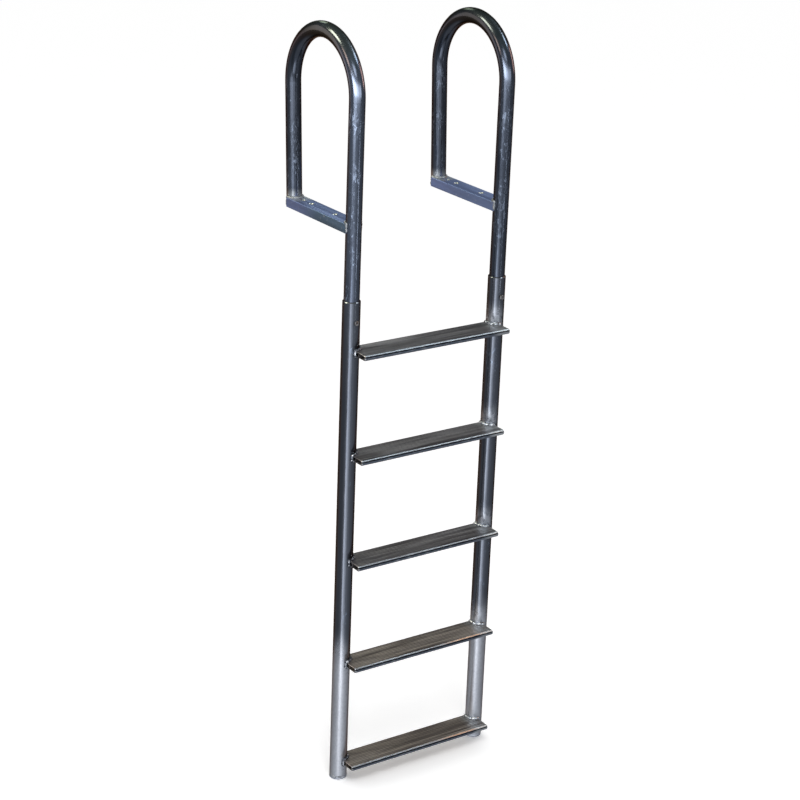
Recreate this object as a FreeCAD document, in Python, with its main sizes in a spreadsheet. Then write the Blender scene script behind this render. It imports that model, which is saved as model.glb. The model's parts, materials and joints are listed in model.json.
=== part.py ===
import FreeCAD, Part
import os
import Sketcher
from FreeCAD import Vector

# Dock ladder: two tube rails with five ribbed treads hang in the water, and two
# handrail loops slide into the rails' tops. Each loop stands on a mounting
# channel that is bolted flat to the dock.
# Frame: millimetres, +Z up, +X along the treads to the right, +Y from the water
# towards the dock. The origin lies on the underside of the left mounting
# channel, midway between its two bolt holes, so z = 0 is the dock's surface.

doc = FreeCAD.newDocument("dock_ladder")

# Driving dimensions, in millimetres

DIMENSIONS = [
    ("rail_spacing", 466.0, "centre to centre of the two rails"),
    ("rail_diameter", 48.26, "outside of the lower rail tube"),
    ("rail_wall", 2.77, "wall of the lower rail tube"),
    ("rail_rim_drop", 181.0, "dock surface down to the rim of the lower rail"),
    ("rail_foot_reach", 50.0, "top of the lowest tread down to the cut foot of the lower rail"),
    ("rim_chamfer", 1.4, "bevel round the rim of the lower rail"),
    ("handrail_diameter", 42.16, "outside of the handrail tube"),
    ("handrail_wall", 2.77, "wall of the handrail tube"),
    ("handrail_insertion", 150.0, "length of handrail hidden inside the lower rail"),
    ("bend_radius", 152.4, "centreline radius of the handrail's bend"),
    ("bend_centre_height", 339.0, "dock surface up to the centre of the bend"),
    ("leg_spacing", 287.3, "long leg to short leg of the handrail at the dock surface"),
    ("leg_trim", 8.0, "length by which the short leg is cut level with the dock"),
    ("channel_width", 50.8, "outside width of the mounting channel"),
    ("channel_height", 25.4, "outside height of the mounting channel"),
    ("channel_wall", 3.175, "wall of the mounting channel"),
    ("channel_rounding", 1.2, "radius of the channel's long outer edges"),
    ("hole_spacing", 114.3, "between the two bolt holes"),
    ("hole_diameter", 8.8, "bolt holes of the channel"),
    ("countersink_diameter", 14.4, "mouth of a bolt hole's countersink"),
    ("screw_spacing", 38.1, "rear bolt hole to the small screw hole"),
    ("screw_setback", 44.9, "small screw hole to the short leg"),
    ("screw_hole_diameter", 5.0, "small screw hole of the channel"),
    ("screw_countersink_diameter", 9.0, "mouth of the small screw hole's countersink"),
    ("first_tread_drop", 312.0, "dock surface down to the top of the first tread"),
    ("first_tread_gap", 291.5, "first tread to second tread"),
    ("tread_pitch", 304.8, "tread to tread, from the second one down"),
    ("tread_depth", 88.9, "front to back of a tread"),
    ("tread_overhang", 72.4, "rail axis forward to the nose of a tread"),
    ("tread_height", 15.0, "top to bottom of a tread"),
    ("tread_wall", 2.6, "wall of the hollow tread"),
    ("tread_nose_wall", 7.0, "solid front of the hollow tread"),
    ("tread_web", 2.2, "thickness of the two webs inside a tread"),
    ("tread_nose_radius", 7.0, "rounding of the tread's front and back edges"),
    ("tread_end_inset", 0.6, "rail axis to the cut end of a tread"),
    ("tread_end_bevel", 1.6, "bevel of the cut ends' outer edges"),
    ("front_line_drop", 4.8, "top of a tread down to the middle of the line along its nose"),
    ("front_line_width", 2.8, "width of the line along the nose"),
    ("front_line_depth", 2.4, "front of the nose back to the bottom of the line"),
    ("groove_count", 11, "grooves along the top of a tread"),
    ("groove_pitch", 7.0, "groove to groove"),
    ("groove_width", 2.2, "width of a groove"),
    ("groove_depth", 0.8, "depth of a groove"),
    ("groove_setback", 8.6, "tread nose to the first groove"),
    ("cope_gap", 0.8, "gap round a tube where a piece is notched for it"),
    ("leg_weld", 4.6, "height and width of the weld round a handrail's leg"),
    ("tread_weld", 6.4, "height and width of the weld round a rail"),
    ("weld_fullness", 0.65, "share of a weld's height and width at which its slope changes"),
    ("weld_radius", 4.0, "radius of an upright weld bead"),
    ("bolt_drop", 55.0, "rim of the lower rail down to the cross bolt"),
    ("bolt_diameter", 7.9, "shank of the cross bolt"),
    ("bolt_hole_gap", 0.2, "gap round the shank in the tubes"),
    ("bolt_head_width", 12.7, "across the flats of the bolt head and nut"),
    ("bolt_head_height", 5.3, "height of the bolt head"),
    ("nut_height", 6.7, "height of the nut"),
    ("thread_gap", 0.05, "gap between the bolt's thread and the nut"),
    ("bolt_tail", 3.0, "thread that stands out of the nut"),
    ("cap_height", 12.0, "lip of the foot cap below the rail"),
    ("cap_plug_length", 22.0, "plug of the foot cap inside the rail"),
    ("cap_plug_gap", 0.25, "gap round the plug inside the rail"),
    ("cap_bevel", 2.0, "bevel of the foot cap's lower edge"),
]

sheet = doc.addObject("Spreadsheet::Sheet", "Dimensions")
for row, (alias, value, note) in enumerate(DIMENSIONS, start=1):
    sheet.set(f"A{row}", alias)
    sheet.set(f"B{row}", str(value))
    sheet.setAlias(f"B{row}", alias)
    sheet.set(f"C{row}", note)
doc.recompute()


def size(alias):
    """The present value of one driving dimension."""
    return float(sheet.get(alias))


def formula(text):
    """Rewrites each name in angle brackets as the sheet's cell of that name."""
    for alias, _value, _note in DIMENSIONS:
        text = text.replace(f"<{alias}>", f"Dimensions.{alias}")
    return text


# Formulas that several pieces share

RAIL_RADIUS = "<rail_diameter> / 2"
HANDRAIL_RADIUS = "<handrail_diameter> / 2"
SIDE_X = {"left": "0", "right": "<rail_spacing>"}
SIDES = ("left", "right")
TREADS = (1, 2, 3, 4, 5)
SCREW_Y = "(<leg_spacing> - <screw_setback>)"
REAR_BOLT_Y = f"({SCREW_Y} - <screw_spacing>)"
FRONT_BOLT_Y = f"({REAR_BOLT_Y} - <hole_spacing>)"
RAIL_AXIS_Y = f"-({REAR_BOLT_Y} - <hole_spacing> / 2)"
CROSS_BOLT_Z = "-(<rail_rim_drop> + <bolt_drop>)"
LEG_ANGLE = (
    "(asin(<bend_radius> / sqrt((<leg_spacing> - <bend_radius>) ^ 2 + <bend_centre_height> ^ 2))"
    " - atan((<leg_spacing> - <bend_radius>) / <bend_centre_height>))"
)


def tread_drop(number):
    """Formula for the distance from the dock surface down to a tread's top."""
    if number == 1:
        return "<first_tread_drop>"
    return f"<first_tread_drop> + <first_tread_gap> + {number - 2} * <tread_pitch>"


RAIL_FOOT_DROP = f"({tread_drop(TREADS[-1])} + <rail_foot_reach>)"


# Helpers for bodies, sketches and features


def bind(target, prop, text):
    """Ties one property of a feature to a formula over the sheet."""
    target.setExpression(prop, formula(text))


def place(target, across, along="0", up="0"):
    """Puts a piece at a formula for each axis, measured from the left rail's axis at dock level."""
    bind(target, "Placement.Base.x", across)
    bind(target, "Placement.Base.y", f"{RAIL_AXIS_Y} + {along}")
    bind(target, "Placement.Base.z", up)


def new_body(label):
    body = doc.addObject("PartDesign::Body", label)
    body.Label = label
    return body


def new_sketch(body, name, role, offset="0"):
    """A sketch on one of the body's own planes, moved along the plane's normal."""
    sketch = body.newObject("Sketcher::SketchObject", name)
    plane = [feature for feature in body.Origin.OriginFeatures if feature.Role == role][0]
    sketch.AttachmentSupport = [(plane, "")]
    sketch.MapMode = "FlatFace"
    bind(sketch, "AttachmentOffset.Base.z", offset)
    return sketch


def constrain(sketch, text, *arguments):
    """Adds a dimension to a sketch and ties it to a formula."""
    index = sketch.addConstraint(Sketcher.Constraint(*arguments))
    sketch.renameConstraint(index, f"size{index}")
    bind(sketch, f"Constraints.size{index}", text)


def draw_circle(sketch, diameter, across=None, up=None):
    """A circle whose centre is held at the sketch's root or at two distances from it."""
    start = Vector(1.0, 1.0, 0) if across or up else Vector(0, 0, 0)
    circle = sketch.addGeometry(Part.Circle(start, Vector(0, 0, 1), 5.0), False)
    if across is None and up is None:
        sketch.addConstraint(Sketcher.Constraint("Coincident", circle, 3, -1, 1))
    elif across is None:
        sketch.addConstraint(Sketcher.Constraint("PointOnObject", circle, 3, -2))
        constrain(sketch, up, "DistanceY", -1, 1, circle, 3, 1.0)
    else:
        sketch.addConstraint(Sketcher.Constraint("PointOnObject", circle, 3, -1))
        constrain(sketch, across, "DistanceX", -1, 1, circle, 3, 1.0)
    constrain(sketch, diameter, "Diameter", circle, 10.0)
    return circle


def draw_rectangle(sketch, left, right, bottom, top):
    """A rectangle between four distances from the sketch's root point."""
    low, high = Vector(-3, -2, 0), Vector(4, 5, 0)
    corners = [low, Vector(high.x, low.y, 0), high, Vector(low.x, high.y, 0)]
    lines = [
        sketch.addGeometry(Part.LineSegment(corners[i], corners[(i + 1) % 4]), False)
        for i in range(4)
    ]
    for i in range(4):
        sketch.addConstraint(Sketcher.Constraint("Coincident", lines[i], 2, lines[(i + 1) % 4], 1))
    for i, direction in enumerate(("Horizontal", "Vertical", "Horizontal", "Vertical")):
        sketch.addConstraint(Sketcher.Constraint(direction, lines[i]))
    constrain(sketch, left, "DistanceX", -1, 1, lines[0], 1, low.x)
    constrain(sketch, bottom, "DistanceY", -1, 1, lines[0], 1, low.y)
    constrain(sketch, right, "DistanceX", -1, 1, lines[2], 1, high.x)
    constrain(sketch, top, "DistanceY", -1, 1, lines[2], 1, high.y)


def pad(body, name, sketch, length, reverse=False):
    feature = body.newObject("PartDesign::Pad", name)
    feature.Profile = sketch
    feature.Reversed = reverse
    bind(feature, "Length", length)
    return feature


def pocket_through(body, name, sketch):
    """Cuts a sketch right through the body, both ways from the sketch."""
    feature = body.newObject("PartDesign::Pocket", name)
    feature.Profile = sketch
    feature.Type = "ThroughAll"
    feature.SideType = "Symmetric"
    return feature


def edges_where(feature, test):
    """The names of a feature's edges that pass a test."""
    return [f"Edge{i}" for i, edge in enumerate(feature.Shape.Edges, start=1) if test(edge)]


def runs_along(edge, axis):
    """True for a straight edge parallel to one of the axes x, y, z."""
    if not isinstance(edge.Curve, Part.Line):
        return False
    return abs(getattr(edge.tangentAt(edge.FirstParameter), axis)) > 0.999


# Lower rails: round tube with a bevelled rim and a cross hole for the bolt


def make_lower_rail(side):
    rail = new_body(f"lower_rail_{side}")
    section = new_sketch(rail, f"rail_section_{side}", "XY_Plane")
    draw_circle(section, "<rail_diameter>")
    draw_circle(section, "<rail_diameter> - 2 * <rail_wall>")
    tube = pad(rail, f"rail_tube_{side}", section, f"{RAIL_FOOT_DROP} - <rail_rim_drop>")
    doc.recompute()
    top = tube.Shape.BoundBox.ZMax - 0.01
    across = size("rail_diameter") - 0.1
    rim = edges_where(
        tube, lambda edge: edge.BoundBox.ZMin > top and edge.BoundBox.XLength > across
    )
    bevel = rail.newObject("PartDesign::Chamfer", f"rail_rim_{side}")
    bevel.Base = (tube, rim)
    bind(bevel, "Size", "<rim_chamfer>")
    hole = new_sketch(rail, f"rail_cross_hole_{side}", "XZ_Plane")
    draw_circle(
        hole,
        "<bolt_diameter> + 2 * <bolt_hole_gap>",
        up=f"{RAIL_FOOT_DROP} + {CROSS_BOLT_Z}",
    )
    pocket_through(rail, f"rail_cross_hole_cut_{side}", hole)
    place(rail, SIDE_X[side], up=f"-{RAIL_FOOT_DROP}")
    return rail


# Handrails: one tube swept up the long leg, over the bend and down the short
# leg, which leans in towards its foot and is cut level with the dock


def make_handrail(side):
    handrail = new_body(f"handrail_{side}")
    path = new_sketch(handrail, f"handrail_path_{side}", "YZ_Plane")
    radius = size("bend_radius")
    height = size("bend_centre_height")
    bottom = -(size("rail_rim_drop") + size("handrail_insertion"))
    foot = size("leg_spacing")
    centre = Vector(radius, height, 0)
    long_leg = path.addGeometry(Part.LineSegment(Vector(0, bottom, 0), Vector(0, height, 0)), False)
    circle = Part.Circle(centre, Vector(0, 0, 1), radius)
    bend = path.addGeometry(Part.ArcOfCircle(circle, -0.05, 3.14159), False)
    shoulder = circle.value(-0.05)
    short_leg = path.addGeometry(
        Part.LineSegment(shoulder, Vector(foot, -size("leg_trim"), 0)), False
    )
    foot_mark = path.addGeometry(Part.Point(Vector(foot, 0, 0)), True)
    path.addConstraint(Sketcher.Constraint("PointOnObject", long_leg, 1, -2))
    path.addConstraint(Sketcher.Constraint("Vertical", long_leg))
    path.addConstraint(Sketcher.Constraint("Tangent", long_leg, 2, bend, 2))
    path.addConstraint(Sketcher.Constraint("Tangent", bend, 1, short_leg, 1))
    path.addConstraint(Sketcher.Constraint("PointOnObject", foot_mark, 1, -1))
    path.addConstraint(Sketcher.Constraint("PointOnObject", foot_mark, 1, short_leg))
    constrain(path, "<bend_radius>", "Radius", bend, radius)
    constrain(path, "<bend_centre_height>", "DistanceY", -1, 1, bend, 3, height)
    constrain(path, "<rail_rim_drop> + <handrail_insertion>", "DistanceY", long_leg, 1, -1, 1, -bottom)
    constrain(path, "<leg_spacing>", "DistanceX", -1, 1, foot_mark, 1, foot)
    constrain(path, "<leg_trim>", "DistanceY", short_leg, 2, -1, 1, size("leg_trim"))
    section = new_sketch(
        handrail,
        f"handrail_section_{side}",
        "XY_Plane",
        "-(<rail_rim_drop> + <handrail_insertion>)",
    )
    draw_circle(section, "<handrail_diameter>")
    draw_circle(section, "<handrail_diameter> - 2 * <handrail_wall>")
    doc.recompute()
    tube = handrail.newObject("PartDesign::AdditivePipe", f"handrail_tube_{side}")
    tube.Profile = section
    tube.Spine = (path, ["Edge1", "Edge2", "Edge3"])
    doc.recompute()
    trim = new_sketch(handrail, f"handrail_foot_{side}", "XY_Plane")
    draw_circle(trim, "2 * <handrail_diameter>", up="<leg_spacing>")
    level_cut = handrail.newObject("PartDesign::Pocket", f"handrail_foot_cut_{side}")
    level_cut.Profile = trim
    bind(level_cut, "Length", "4 * <leg_trim>")
    hole = new_sketch(handrail, f"handrail_cross_hole_{side}", "XZ_Plane")
    drop = size("rail_rim_drop") + size("bolt_drop")
    drill = size("bolt_diameter")
    mark = hole.addGeometry(Part.Circle(Vector(0, -drop, 0), Vector(0, 0, 1), drill / 2), False)
    hole.addConstraint(Sketcher.Constraint("PointOnObject", mark, 3, -2))
    constrain(hole, "<rail_rim_drop> + <bolt_drop>", "DistanceY", mark, 3, -1, 1, drop)
    constrain(hole, "<bolt_diameter> + 2 * <bolt_hole_gap>", "Diameter", mark, drill)
    pocket_through(handrail, f"handrail_cross_hole_cut_{side}", hole)
    place(handrail, SIDE_X[side])
    return handrail


# Mounting channels: rectangular tube that lies on the dock between the two
# legs of a handrail, notched half round for each leg, with countersunk holes


def make_leg_core(side, name, gap="0"):
    """A solid the shape of the short leg near its foot, larger all round by a gap."""
    core = doc.addObject("Part::Cylinder", f"{name}_{side}")
    bind(core, "Radius", f"{HANDRAIL_RADIUS} + {gap}")
    bind(core, "Height", "<channel_height> + 4 * <weld_radius>")
    core.Placement.Rotation = FreeCAD.Rotation(Vector(1, 0, 0), -1)
    bind(core, "Placement.Rotation.Angle", f"-{LEG_ANGLE}")
    place(
        core,
        SIDE_X[side],
        f"<leg_spacing> - tan({LEG_ANGLE}) * 2 * <weld_radius>",
        "-2 * <weld_radius>",
    )
    return core


def make_channel(side):
    tube = new_body(f"channel_tube_{side}")
    section = new_sketch(tube, f"channel_section_{side}", "XZ_Plane")
    draw_rectangle(section, "-<channel_width> / 2", "<channel_width> / 2", "0", "<channel_height>")
    draw_rectangle(
        section,
        "-<channel_width> / 2 + <channel_wall>",
        "<channel_width> / 2 - <channel_wall>",
        "<channel_wall>",
        "<channel_height> - <channel_wall>",
    )
    blank = pad(tube, f"channel_blank_{side}", section, "<leg_spacing>", reverse=True)
    doc.recompute()
    half = size("channel_width") / 2
    corners = edges_where(
        blank, lambda edge: runs_along(edge, "y") and abs(abs(edge.CenterOfMass.x) - half) < 0.01
    )
    rounding = tube.newObject("PartDesign::Fillet", f"channel_rounding_{side}")
    rounding.Base = (blank, corners)
    bind(rounding, "Radius", "<channel_rounding>")
    notch = new_sketch(tube, f"channel_notch_{side}", "XY_Plane")
    draw_circle(notch, "<handrail_diameter> + 2 * <cope_gap>")
    pocket_through(tube, f"channel_notch_cut_{side}", notch)
    holes = (
        ("front_bolt", FRONT_BOLT_Y, "hole", "countersink"),
        ("rear_bolt", REAR_BOLT_Y, "hole", "countersink"),
        ("screw", SCREW_Y, "screw_hole", "screw_countersink"),
    )
    for name, along, drill, sink in holes:
        bore = new_sketch(tube, f"{name}_bore_{side}", "XY_Plane")
        draw_circle(bore, f"<{drill}_diameter>", up=along)
        pocket_through(tube, f"{name}_bore_cut_{side}", bore)
        mouth = new_sketch(tube, f"{name}_mouth_{side}", "XY_Plane", "<channel_height>")
        draw_circle(mouth, f"<{sink}_diameter>", up=along)
        cone = tube.newObject("PartDesign::Pocket", f"{name}_countersink_{side}")
        cone.Profile = mouth
        cone.TaperAngle = -45
        bind(cone, "Length", f"(<{sink}_diameter> - <{drill}_diameter>) / 2")
    place(tube, SIDE_X[side])
    channel = doc.addObject("Part::Cut", f"mounting_channel_{side}")
    channel.Label = f"mounting_channel_{side}"
    channel.Base = tube
    channel.Tool = make_leg_core(side, "foot_notch", "<cope_gap>")
    return channel


# Treads: hollow flat extrusion with a solid rounded nose, a sunk line along the
# nose, a grooved top, and bevelled ends that are notched half round for the rails


def end_edges(feature):
    """The names of the outer edges of a feature's two end faces across the X axis."""
    ends = [
        face
        for face in feature.Shape.Faces
        if face.BoundBox.XLength < 0.001 and face.BoundBox.YLength > size("tread_depth") / 2
    ]
    outline = [edge for face in ends for edge in face.OuterWire.Edges]
    return edges_where(feature, lambda edge: any(edge.isSame(other) for other in outline))


def make_tread(number):
    tread = new_body(f"tread_{number}")
    section = new_sketch(tread, f"tread_section_{number}", "YZ_Plane", "<tread_end_inset>")
    back = "<tread_depth> - <tread_overhang>"
    draw_rectangle(section, "-<tread_overhang>", back, "-<tread_height>", "0")
    cell = "(<tread_depth> - <tread_nose_wall> - <tread_wall> - 2 * <tread_web>) / 3"
    for column in range(3):
        start = f"-<tread_overhang> + <tread_nose_wall> + {column} * ({cell} + <tread_web>)"
        draw_rectangle(
            section, start, f"{start} + {cell}", "-<tread_height> + <tread_wall>", "-<tread_wall>"
        )
    blank = pad(
        tread, f"tread_blank_{number}", section, "<rail_spacing> - 2 * <tread_end_inset>"
    )
    doc.recompute()
    front, rear = -size("tread_overhang"), size("tread_depth") - size("tread_overhang")

    def on_lines(*lines):
        return lambda edge: runs_along(edge, "x") and any(
            abs(edge.CenterOfMass.y - line) < 0.01 for line in lines
        )

    nose = tread.newObject("PartDesign::Fillet", f"tread_nose_{number}")
    nose.Base = (blank, edges_where(blank, on_lines(front, rear)))
    bind(nose, "Radius", "<tread_nose_radius>")
    doc.recompute()
    inner = tread.newObject("PartDesign::Fillet", f"tread_inner_back_{number}")
    inner.Base = (nose, edges_where(nose, on_lines(rear - size("tread_wall"))))
    bind(inner, "Radius", "<tread_nose_radius> - <tread_wall>")
    doc.recompute()
    ends = tread.newObject("PartDesign::Chamfer", f"tread_ends_{number}")
    ends.Base = (inner, end_edges(inner))
    bind(ends, "Size", "<tread_end_bevel>")
    line = new_sketch(tread, f"tread_front_line_{number}", "YZ_Plane")
    draw_rectangle(
        line,
        "-<tread_overhang> - <front_line_depth>",
        "-<tread_overhang> + <front_line_depth>",
        "-<front_line_drop> - <front_line_width> / 2",
        "-<front_line_drop> + <front_line_width> / 2",
    )
    sunk = tread.newObject("PartDesign::Pocket", f"tread_front_line_cut_{number}")
    sunk.Profile = line
    sunk.Reversed = True
    bind(sunk, "Length", "<rail_spacing>")
    groove = new_sketch(tread, f"tread_groove_{number}", "YZ_Plane")
    first = "-<tread_overhang> + <groove_setback>"
    draw_rectangle(groove, first, f"{first} + <groove_width>", "-<groove_depth>", "<groove_depth>")
    cut = tread.newObject("PartDesign::Pocket", f"tread_groove_cut_{number}")
    cut.Profile = groove
    cut.Reversed = True
    bind(cut, "Length", "<rail_spacing>")
    doc.recompute()
    row = tread.newObject("PartDesign::LinearPattern", f"tread_grooves_{number}")
    row.Originals = [cut]
    row.Direction = (groove, ["H_Axis"])
    bind(row, "Occurrences", "<groove_count>")
    bind(row, "Length", "(<groove_count> - 1) * <groove_pitch>")
    tread.Tip = row
    for side in SIDES:
        notch = new_sketch(tread, f"tread_notch_{number}_{side}", "XY_Plane")
        across = None if side == "left" else SIDE_X[side]
        draw_circle(notch, "<rail_diameter> + 2 * <cope_gap>", across=across)
        pocket_through(tread, f"tread_notch_cut_{number}_{side}", notch)
    place(tread, "0", up=f"-({tread_drop(number)})")
    return tread


# Weld beads: a sloped collar round each tube with an upright bead at its open
# end, less the pieces that they join


def weld_bar(name, across, along, bottom, length, tips):
    """An upright bead with a tapered tip at the named ends."""
    taper = "<weld_radius> * <weld_fullness>"
    bar = doc.addObject("Part::Cylinder", name)
    bind(bar, "Radius", "<weld_radius>")
    bind(bar, "Height", length)
    place(bar, across, along, bottom)
    beads = [bar]
    for tip in tips:
        cone = doc.addObject("Part::Cone", f"{name}_{tip}_tip")
        wide, narrow = ("Radius1", "Radius2") if tip == "top" else ("Radius2", "Radius1")
        bind(cone, wide, "<weld_radius>")
        bind(cone, narrow, "<weld_radius> / 2")
        bind(cone, "Height", taper)
        level = f"{bottom} + {length}" if tip == "top" else f"{bottom} - {taper}"
        place(cone, across, along, level)
        beads.append(cone)
    return beads


def weld_collar(name, tube_radius, leg, start, sweep, across, along, up, rises=True):
    """A collar round an upright tube, from a start angle over a sweep; it rises or hangs."""
    inner = f"({tube_radius} + <cope_gap>)"
    knee = f"{leg} * <weld_fullness>"
    steps = (
        ("seat", f"{inner} + {leg}", f"{inner} + {knee}", knee, "0"),
        ("crest", f"{inner} + {knee}", inner, f"{leg} - {knee}", knee),
    )
    beads = []
    for step, near, far, height, offset in steps:
        cone = doc.addObject("Part::Cone", f"{name}_{step}")
        bind(cone, "Radius1", near if rises else far)
        bind(cone, "Radius2", far if rises else near)
        bind(cone, "Height", height)
        bind(cone, "Angle", sweep)
        cone.Placement.Rotation = FreeCAD.Rotation(Vector(0, 0, 1), 1)
        bind(cone, "Placement.Rotation.Angle", start)
        level = f"{up} + {offset}" if rises else f"{up} - {offset} - ({height})"
        place(cone, across, along, level)
        beads.append(cone)
    return beads


def weld_from(label, beads, solids):
    """Joins beads and takes away the solids that the weld lies against."""
    bead = doc.addObject("Part::MultiFuse", f"{label}_beads")
    bead.Shapes = beads
    for index, solid in enumerate(solids):
        last = index == len(solids) - 1
        cut = doc.addObject("Part::Cut", label if last else f"{label}_cut_{index}")
        cut.Base = bead
        cut.Tool = solid
        bead = cut
    bead.Label = label
    return bead


def make_block(name, across, along, up, length_x, length_y, length_z):
    block = doc.addObject("Part::Box", name)
    bind(block, "Length", length_x)
    bind(block, "Width", length_y)
    bind(block, "Height", length_z)
    place(block, across, along, up)
    return block


def make_post(name, radius, across, bottom, length):
    post = doc.addObject("Part::Cylinder", name)
    bind(post, "Radius", radius)
    bind(post, "Height", length)
    place(post, across, "0", bottom)
    return post


def make_tread_weld(number, side):
    """Bead on a tread's top, down the rail's front at the open end, and underneath."""
    label = f"tread_{number}_weld_{side}"
    across = SIDE_X[side]
    top = f"-({tread_drop(number)})"
    bottom = f"-({tread_drop(number)} + <tread_height>)"
    back = f"asin((<tread_depth> - <tread_overhang>) / ({RAIL_RADIUS} + <cope_gap> + <tread_weld>))"
    start = "-90 deg" if side == "left" else f"180 deg - {back}"
    arc = (start, f"90 deg + {back}", across, "0")
    front = f"-({RAIL_RADIUS} + <cope_gap>)"
    beads = (
        weld_collar(f"{label}_upper", RAIL_RADIUS, "<tread_weld>", *arc, top)
        + weld_collar(f"{label}_lower", RAIL_RADIUS, "<tread_weld>", *arc, bottom, rises=False)
        + weld_bar(f"{label}_bar", across, front, bottom, "<tread_height>", ("top", "bottom"))
    )
    post = make_post(
        f"{label}_rail_core",
        RAIL_RADIUS,
        across,
        f"{bottom} - 2 * <weld_radius>",
        "<tread_height> + 4 * <weld_radius>",
    )
    reach = f"{RAIL_RADIUS} + 3 * <weld_radius>"
    edge = "<tread_end_inset>" if side == "left" else f"{across} - <tread_end_inset> - ({reach})"
    block = make_block(
        f"{label}_tread_core",
        edge,
        "-<tread_overhang>",
        bottom,
        reach,
        "<tread_depth>",
        "<tread_height>",
    )
    return weld_from(label, beads, [post, block])


def make_channel_block(name, side):
    return make_block(
        name,
        f"{SIDE_X[side]} - <channel_width> / 2",
        "0",
        "0",
        "<channel_width>",
        "<leg_spacing>",
        "<channel_height>",
    )


def make_long_leg_weld(side):
    """Bead round the back half of the long leg, and down it at the channel's two side walls."""
    label = f"long_leg_weld_{side}"
    across = SIDE_X[side]
    reach = f"({HANDRAIL_RADIUS} + <cope_gap>)"
    arc = ("0 deg", "180 deg", across, "0")
    beads = weld_collar(f"{label}_upper", HANDRAIL_RADIUS, "<leg_weld>", *arc, "<channel_height>")
    for hand, sign in (("inner", "-"), ("outer", "+")):
        bar = f"{label}_{hand}_bar"
        beads += weld_bar(bar, f"{across} {sign} {reach}", "0", "0", "<channel_height>", ("top",))
    post = make_post(
        f"{label}_leg_core",
        HANDRAIL_RADIUS,
        across,
        "-2 * <weld_radius>",
        "<channel_height> + 4 * <weld_radius>",
    )
    return weld_from(label, beads, [post, make_channel_block(f"{label}_channel_core", side)])


def make_short_leg_weld(side):
    """Bead round the front half of the short leg, and down it at the channel's two side walls."""
    label = f"short_leg_weld_{side}"
    across = SIDE_X[side]
    reach = f"({HANDRAIL_RADIUS} + <cope_gap>)"
    foot = f"<leg_spacing> + tan({LEG_ANGLE}) * <channel_height>"
    arc = ("180 deg", "180 deg", across, foot)
    beads = weld_collar(f"{label}_upper", HANDRAIL_RADIUS, "<leg_weld>", *arc, "<channel_height>")
    for hand, sign in (("inner", "-"), ("outer", "+")):
        bar = f"{label}_{hand}_bar"
        beads += weld_bar(bar, f"{across} {sign} {reach}", foot, "0", "<channel_height>", ("top",))
    leg = make_leg_core(side, f"{label}_leg_core")
    return weld_from(label, beads, [leg, make_channel_block(f"{label}_channel_core", side)])


# Cross bolts: hexagon bolt from the front through rail and handrail, nut behind


def make_hexagon(name, side, along, height):
    """A hexagonal prism that lies along Y on the bolt's axis."""
    prism = doc.addObject("Part::Prism", name)
    prism.Polygon = 6
    bind(prism, "Circumradius", "<bolt_head_width> / sqrt(3)")
    bind(prism, "Height", height)
    prism.Placement.Rotation = FreeCAD.Rotation(Vector(1, 0, 0), -90)
    place(prism, SIDE_X[side], along, CROSS_BOLT_Z)
    return prism


def make_rod(name, side, radius, along, length):
    """A round rod that lies along Y on the bolt's axis."""
    rod = doc.addObject("Part::Cylinder", name)
    bind(rod, "Radius", radius)
    bind(rod, "Height", length)
    rod.Placement.Rotation = FreeCAD.Rotation(Vector(1, 0, 0), -90)
    place(rod, SIDE_X[side], along, CROSS_BOLT_Z)
    return rod


def make_bolt(side):
    bolt = doc.addObject("Part::Fuse", f"cross_bolt_{side}")
    bolt.Label = f"cross_bolt_{side}"
    bolt.Base = make_hexagon(
        f"bolt_head_{side}", side, f"-({RAIL_RADIUS} + <bolt_head_height>)", "<bolt_head_height>"
    )
    bolt.Tool = make_rod(
        f"bolt_shank_{side}",
        side,
        "<bolt_diameter> / 2",
        f"-{RAIL_RADIUS}",
        "<rail_diameter> + <nut_height> + <bolt_tail>",
    )
    bolt.Refine = True
    return bolt


def make_nut(side):
    nut = doc.addObject("Part::Cut", f"cross_bolt_nut_{side}")
    nut.Label = f"cross_bolt_nut_{side}"
    nut.Base = make_hexagon(f"nut_blank_{side}", side, RAIL_RADIUS, "<nut_height>")
    nut.Tool = make_rod(
        f"nut_bore_{side}",
        side,
        "<bolt_diameter> / 2 + <thread_gap>",
        f"{RAIL_RADIUS} - <nut_height>",
        "3 * <nut_height>",
    )
    return nut


# Foot caps: lip as wide as the rail, with a plug inside the tube


def make_foot_cap(side):
    cap = new_body(f"foot_cap_{side}")
    lip_section = new_sketch(cap, f"cap_lip_section_{side}", "XY_Plane", "-<cap_height>")
    draw_circle(lip_section, "<rail_diameter>")
    pad(cap, f"cap_lip_{side}", lip_section, "<cap_height>")
    plug_section = new_sketch(cap, f"cap_plug_section_{side}", "XY_Plane")
    draw_circle(plug_section, "<rail_diameter> - 2 * <rail_wall> - 2 * <cap_plug_gap>")
    plug = pad(cap, f"cap_plug_{side}", plug_section, "<cap_plug_length>")
    doc.recompute()
    low = plug.Shape.BoundBox.ZMin
    bevel = cap.newObject("PartDesign::Chamfer", f"cap_bevel_{side}")
    bevel.Base = (plug, edges_where(plug, lambda edge: edge.BoundBox.ZMax < low + 0.01))
    bind(bevel, "Size", "<cap_bevel>")
    place(cap, SIDE_X[side], up=f"-{RAIL_FOOT_DROP}")
    return cap


# Assembly: every node of the ladder

nodes = []
for side in SIDES:
    nodes += [
        make_lower_rail(side),
        make_handrail(side),
        make_channel(side),
        make_long_leg_weld(side),
        make_short_leg_weld(side),
        make_bolt(side),
        make_nut(side),
        make_foot_cap(side),
    ]
for number in TREADS:
    nodes.append(make_tread(number))
    for side in SIDES:
        nodes.append(make_tread_weld(number, side))
doc.recompute()

# Checks before anything is written

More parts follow.
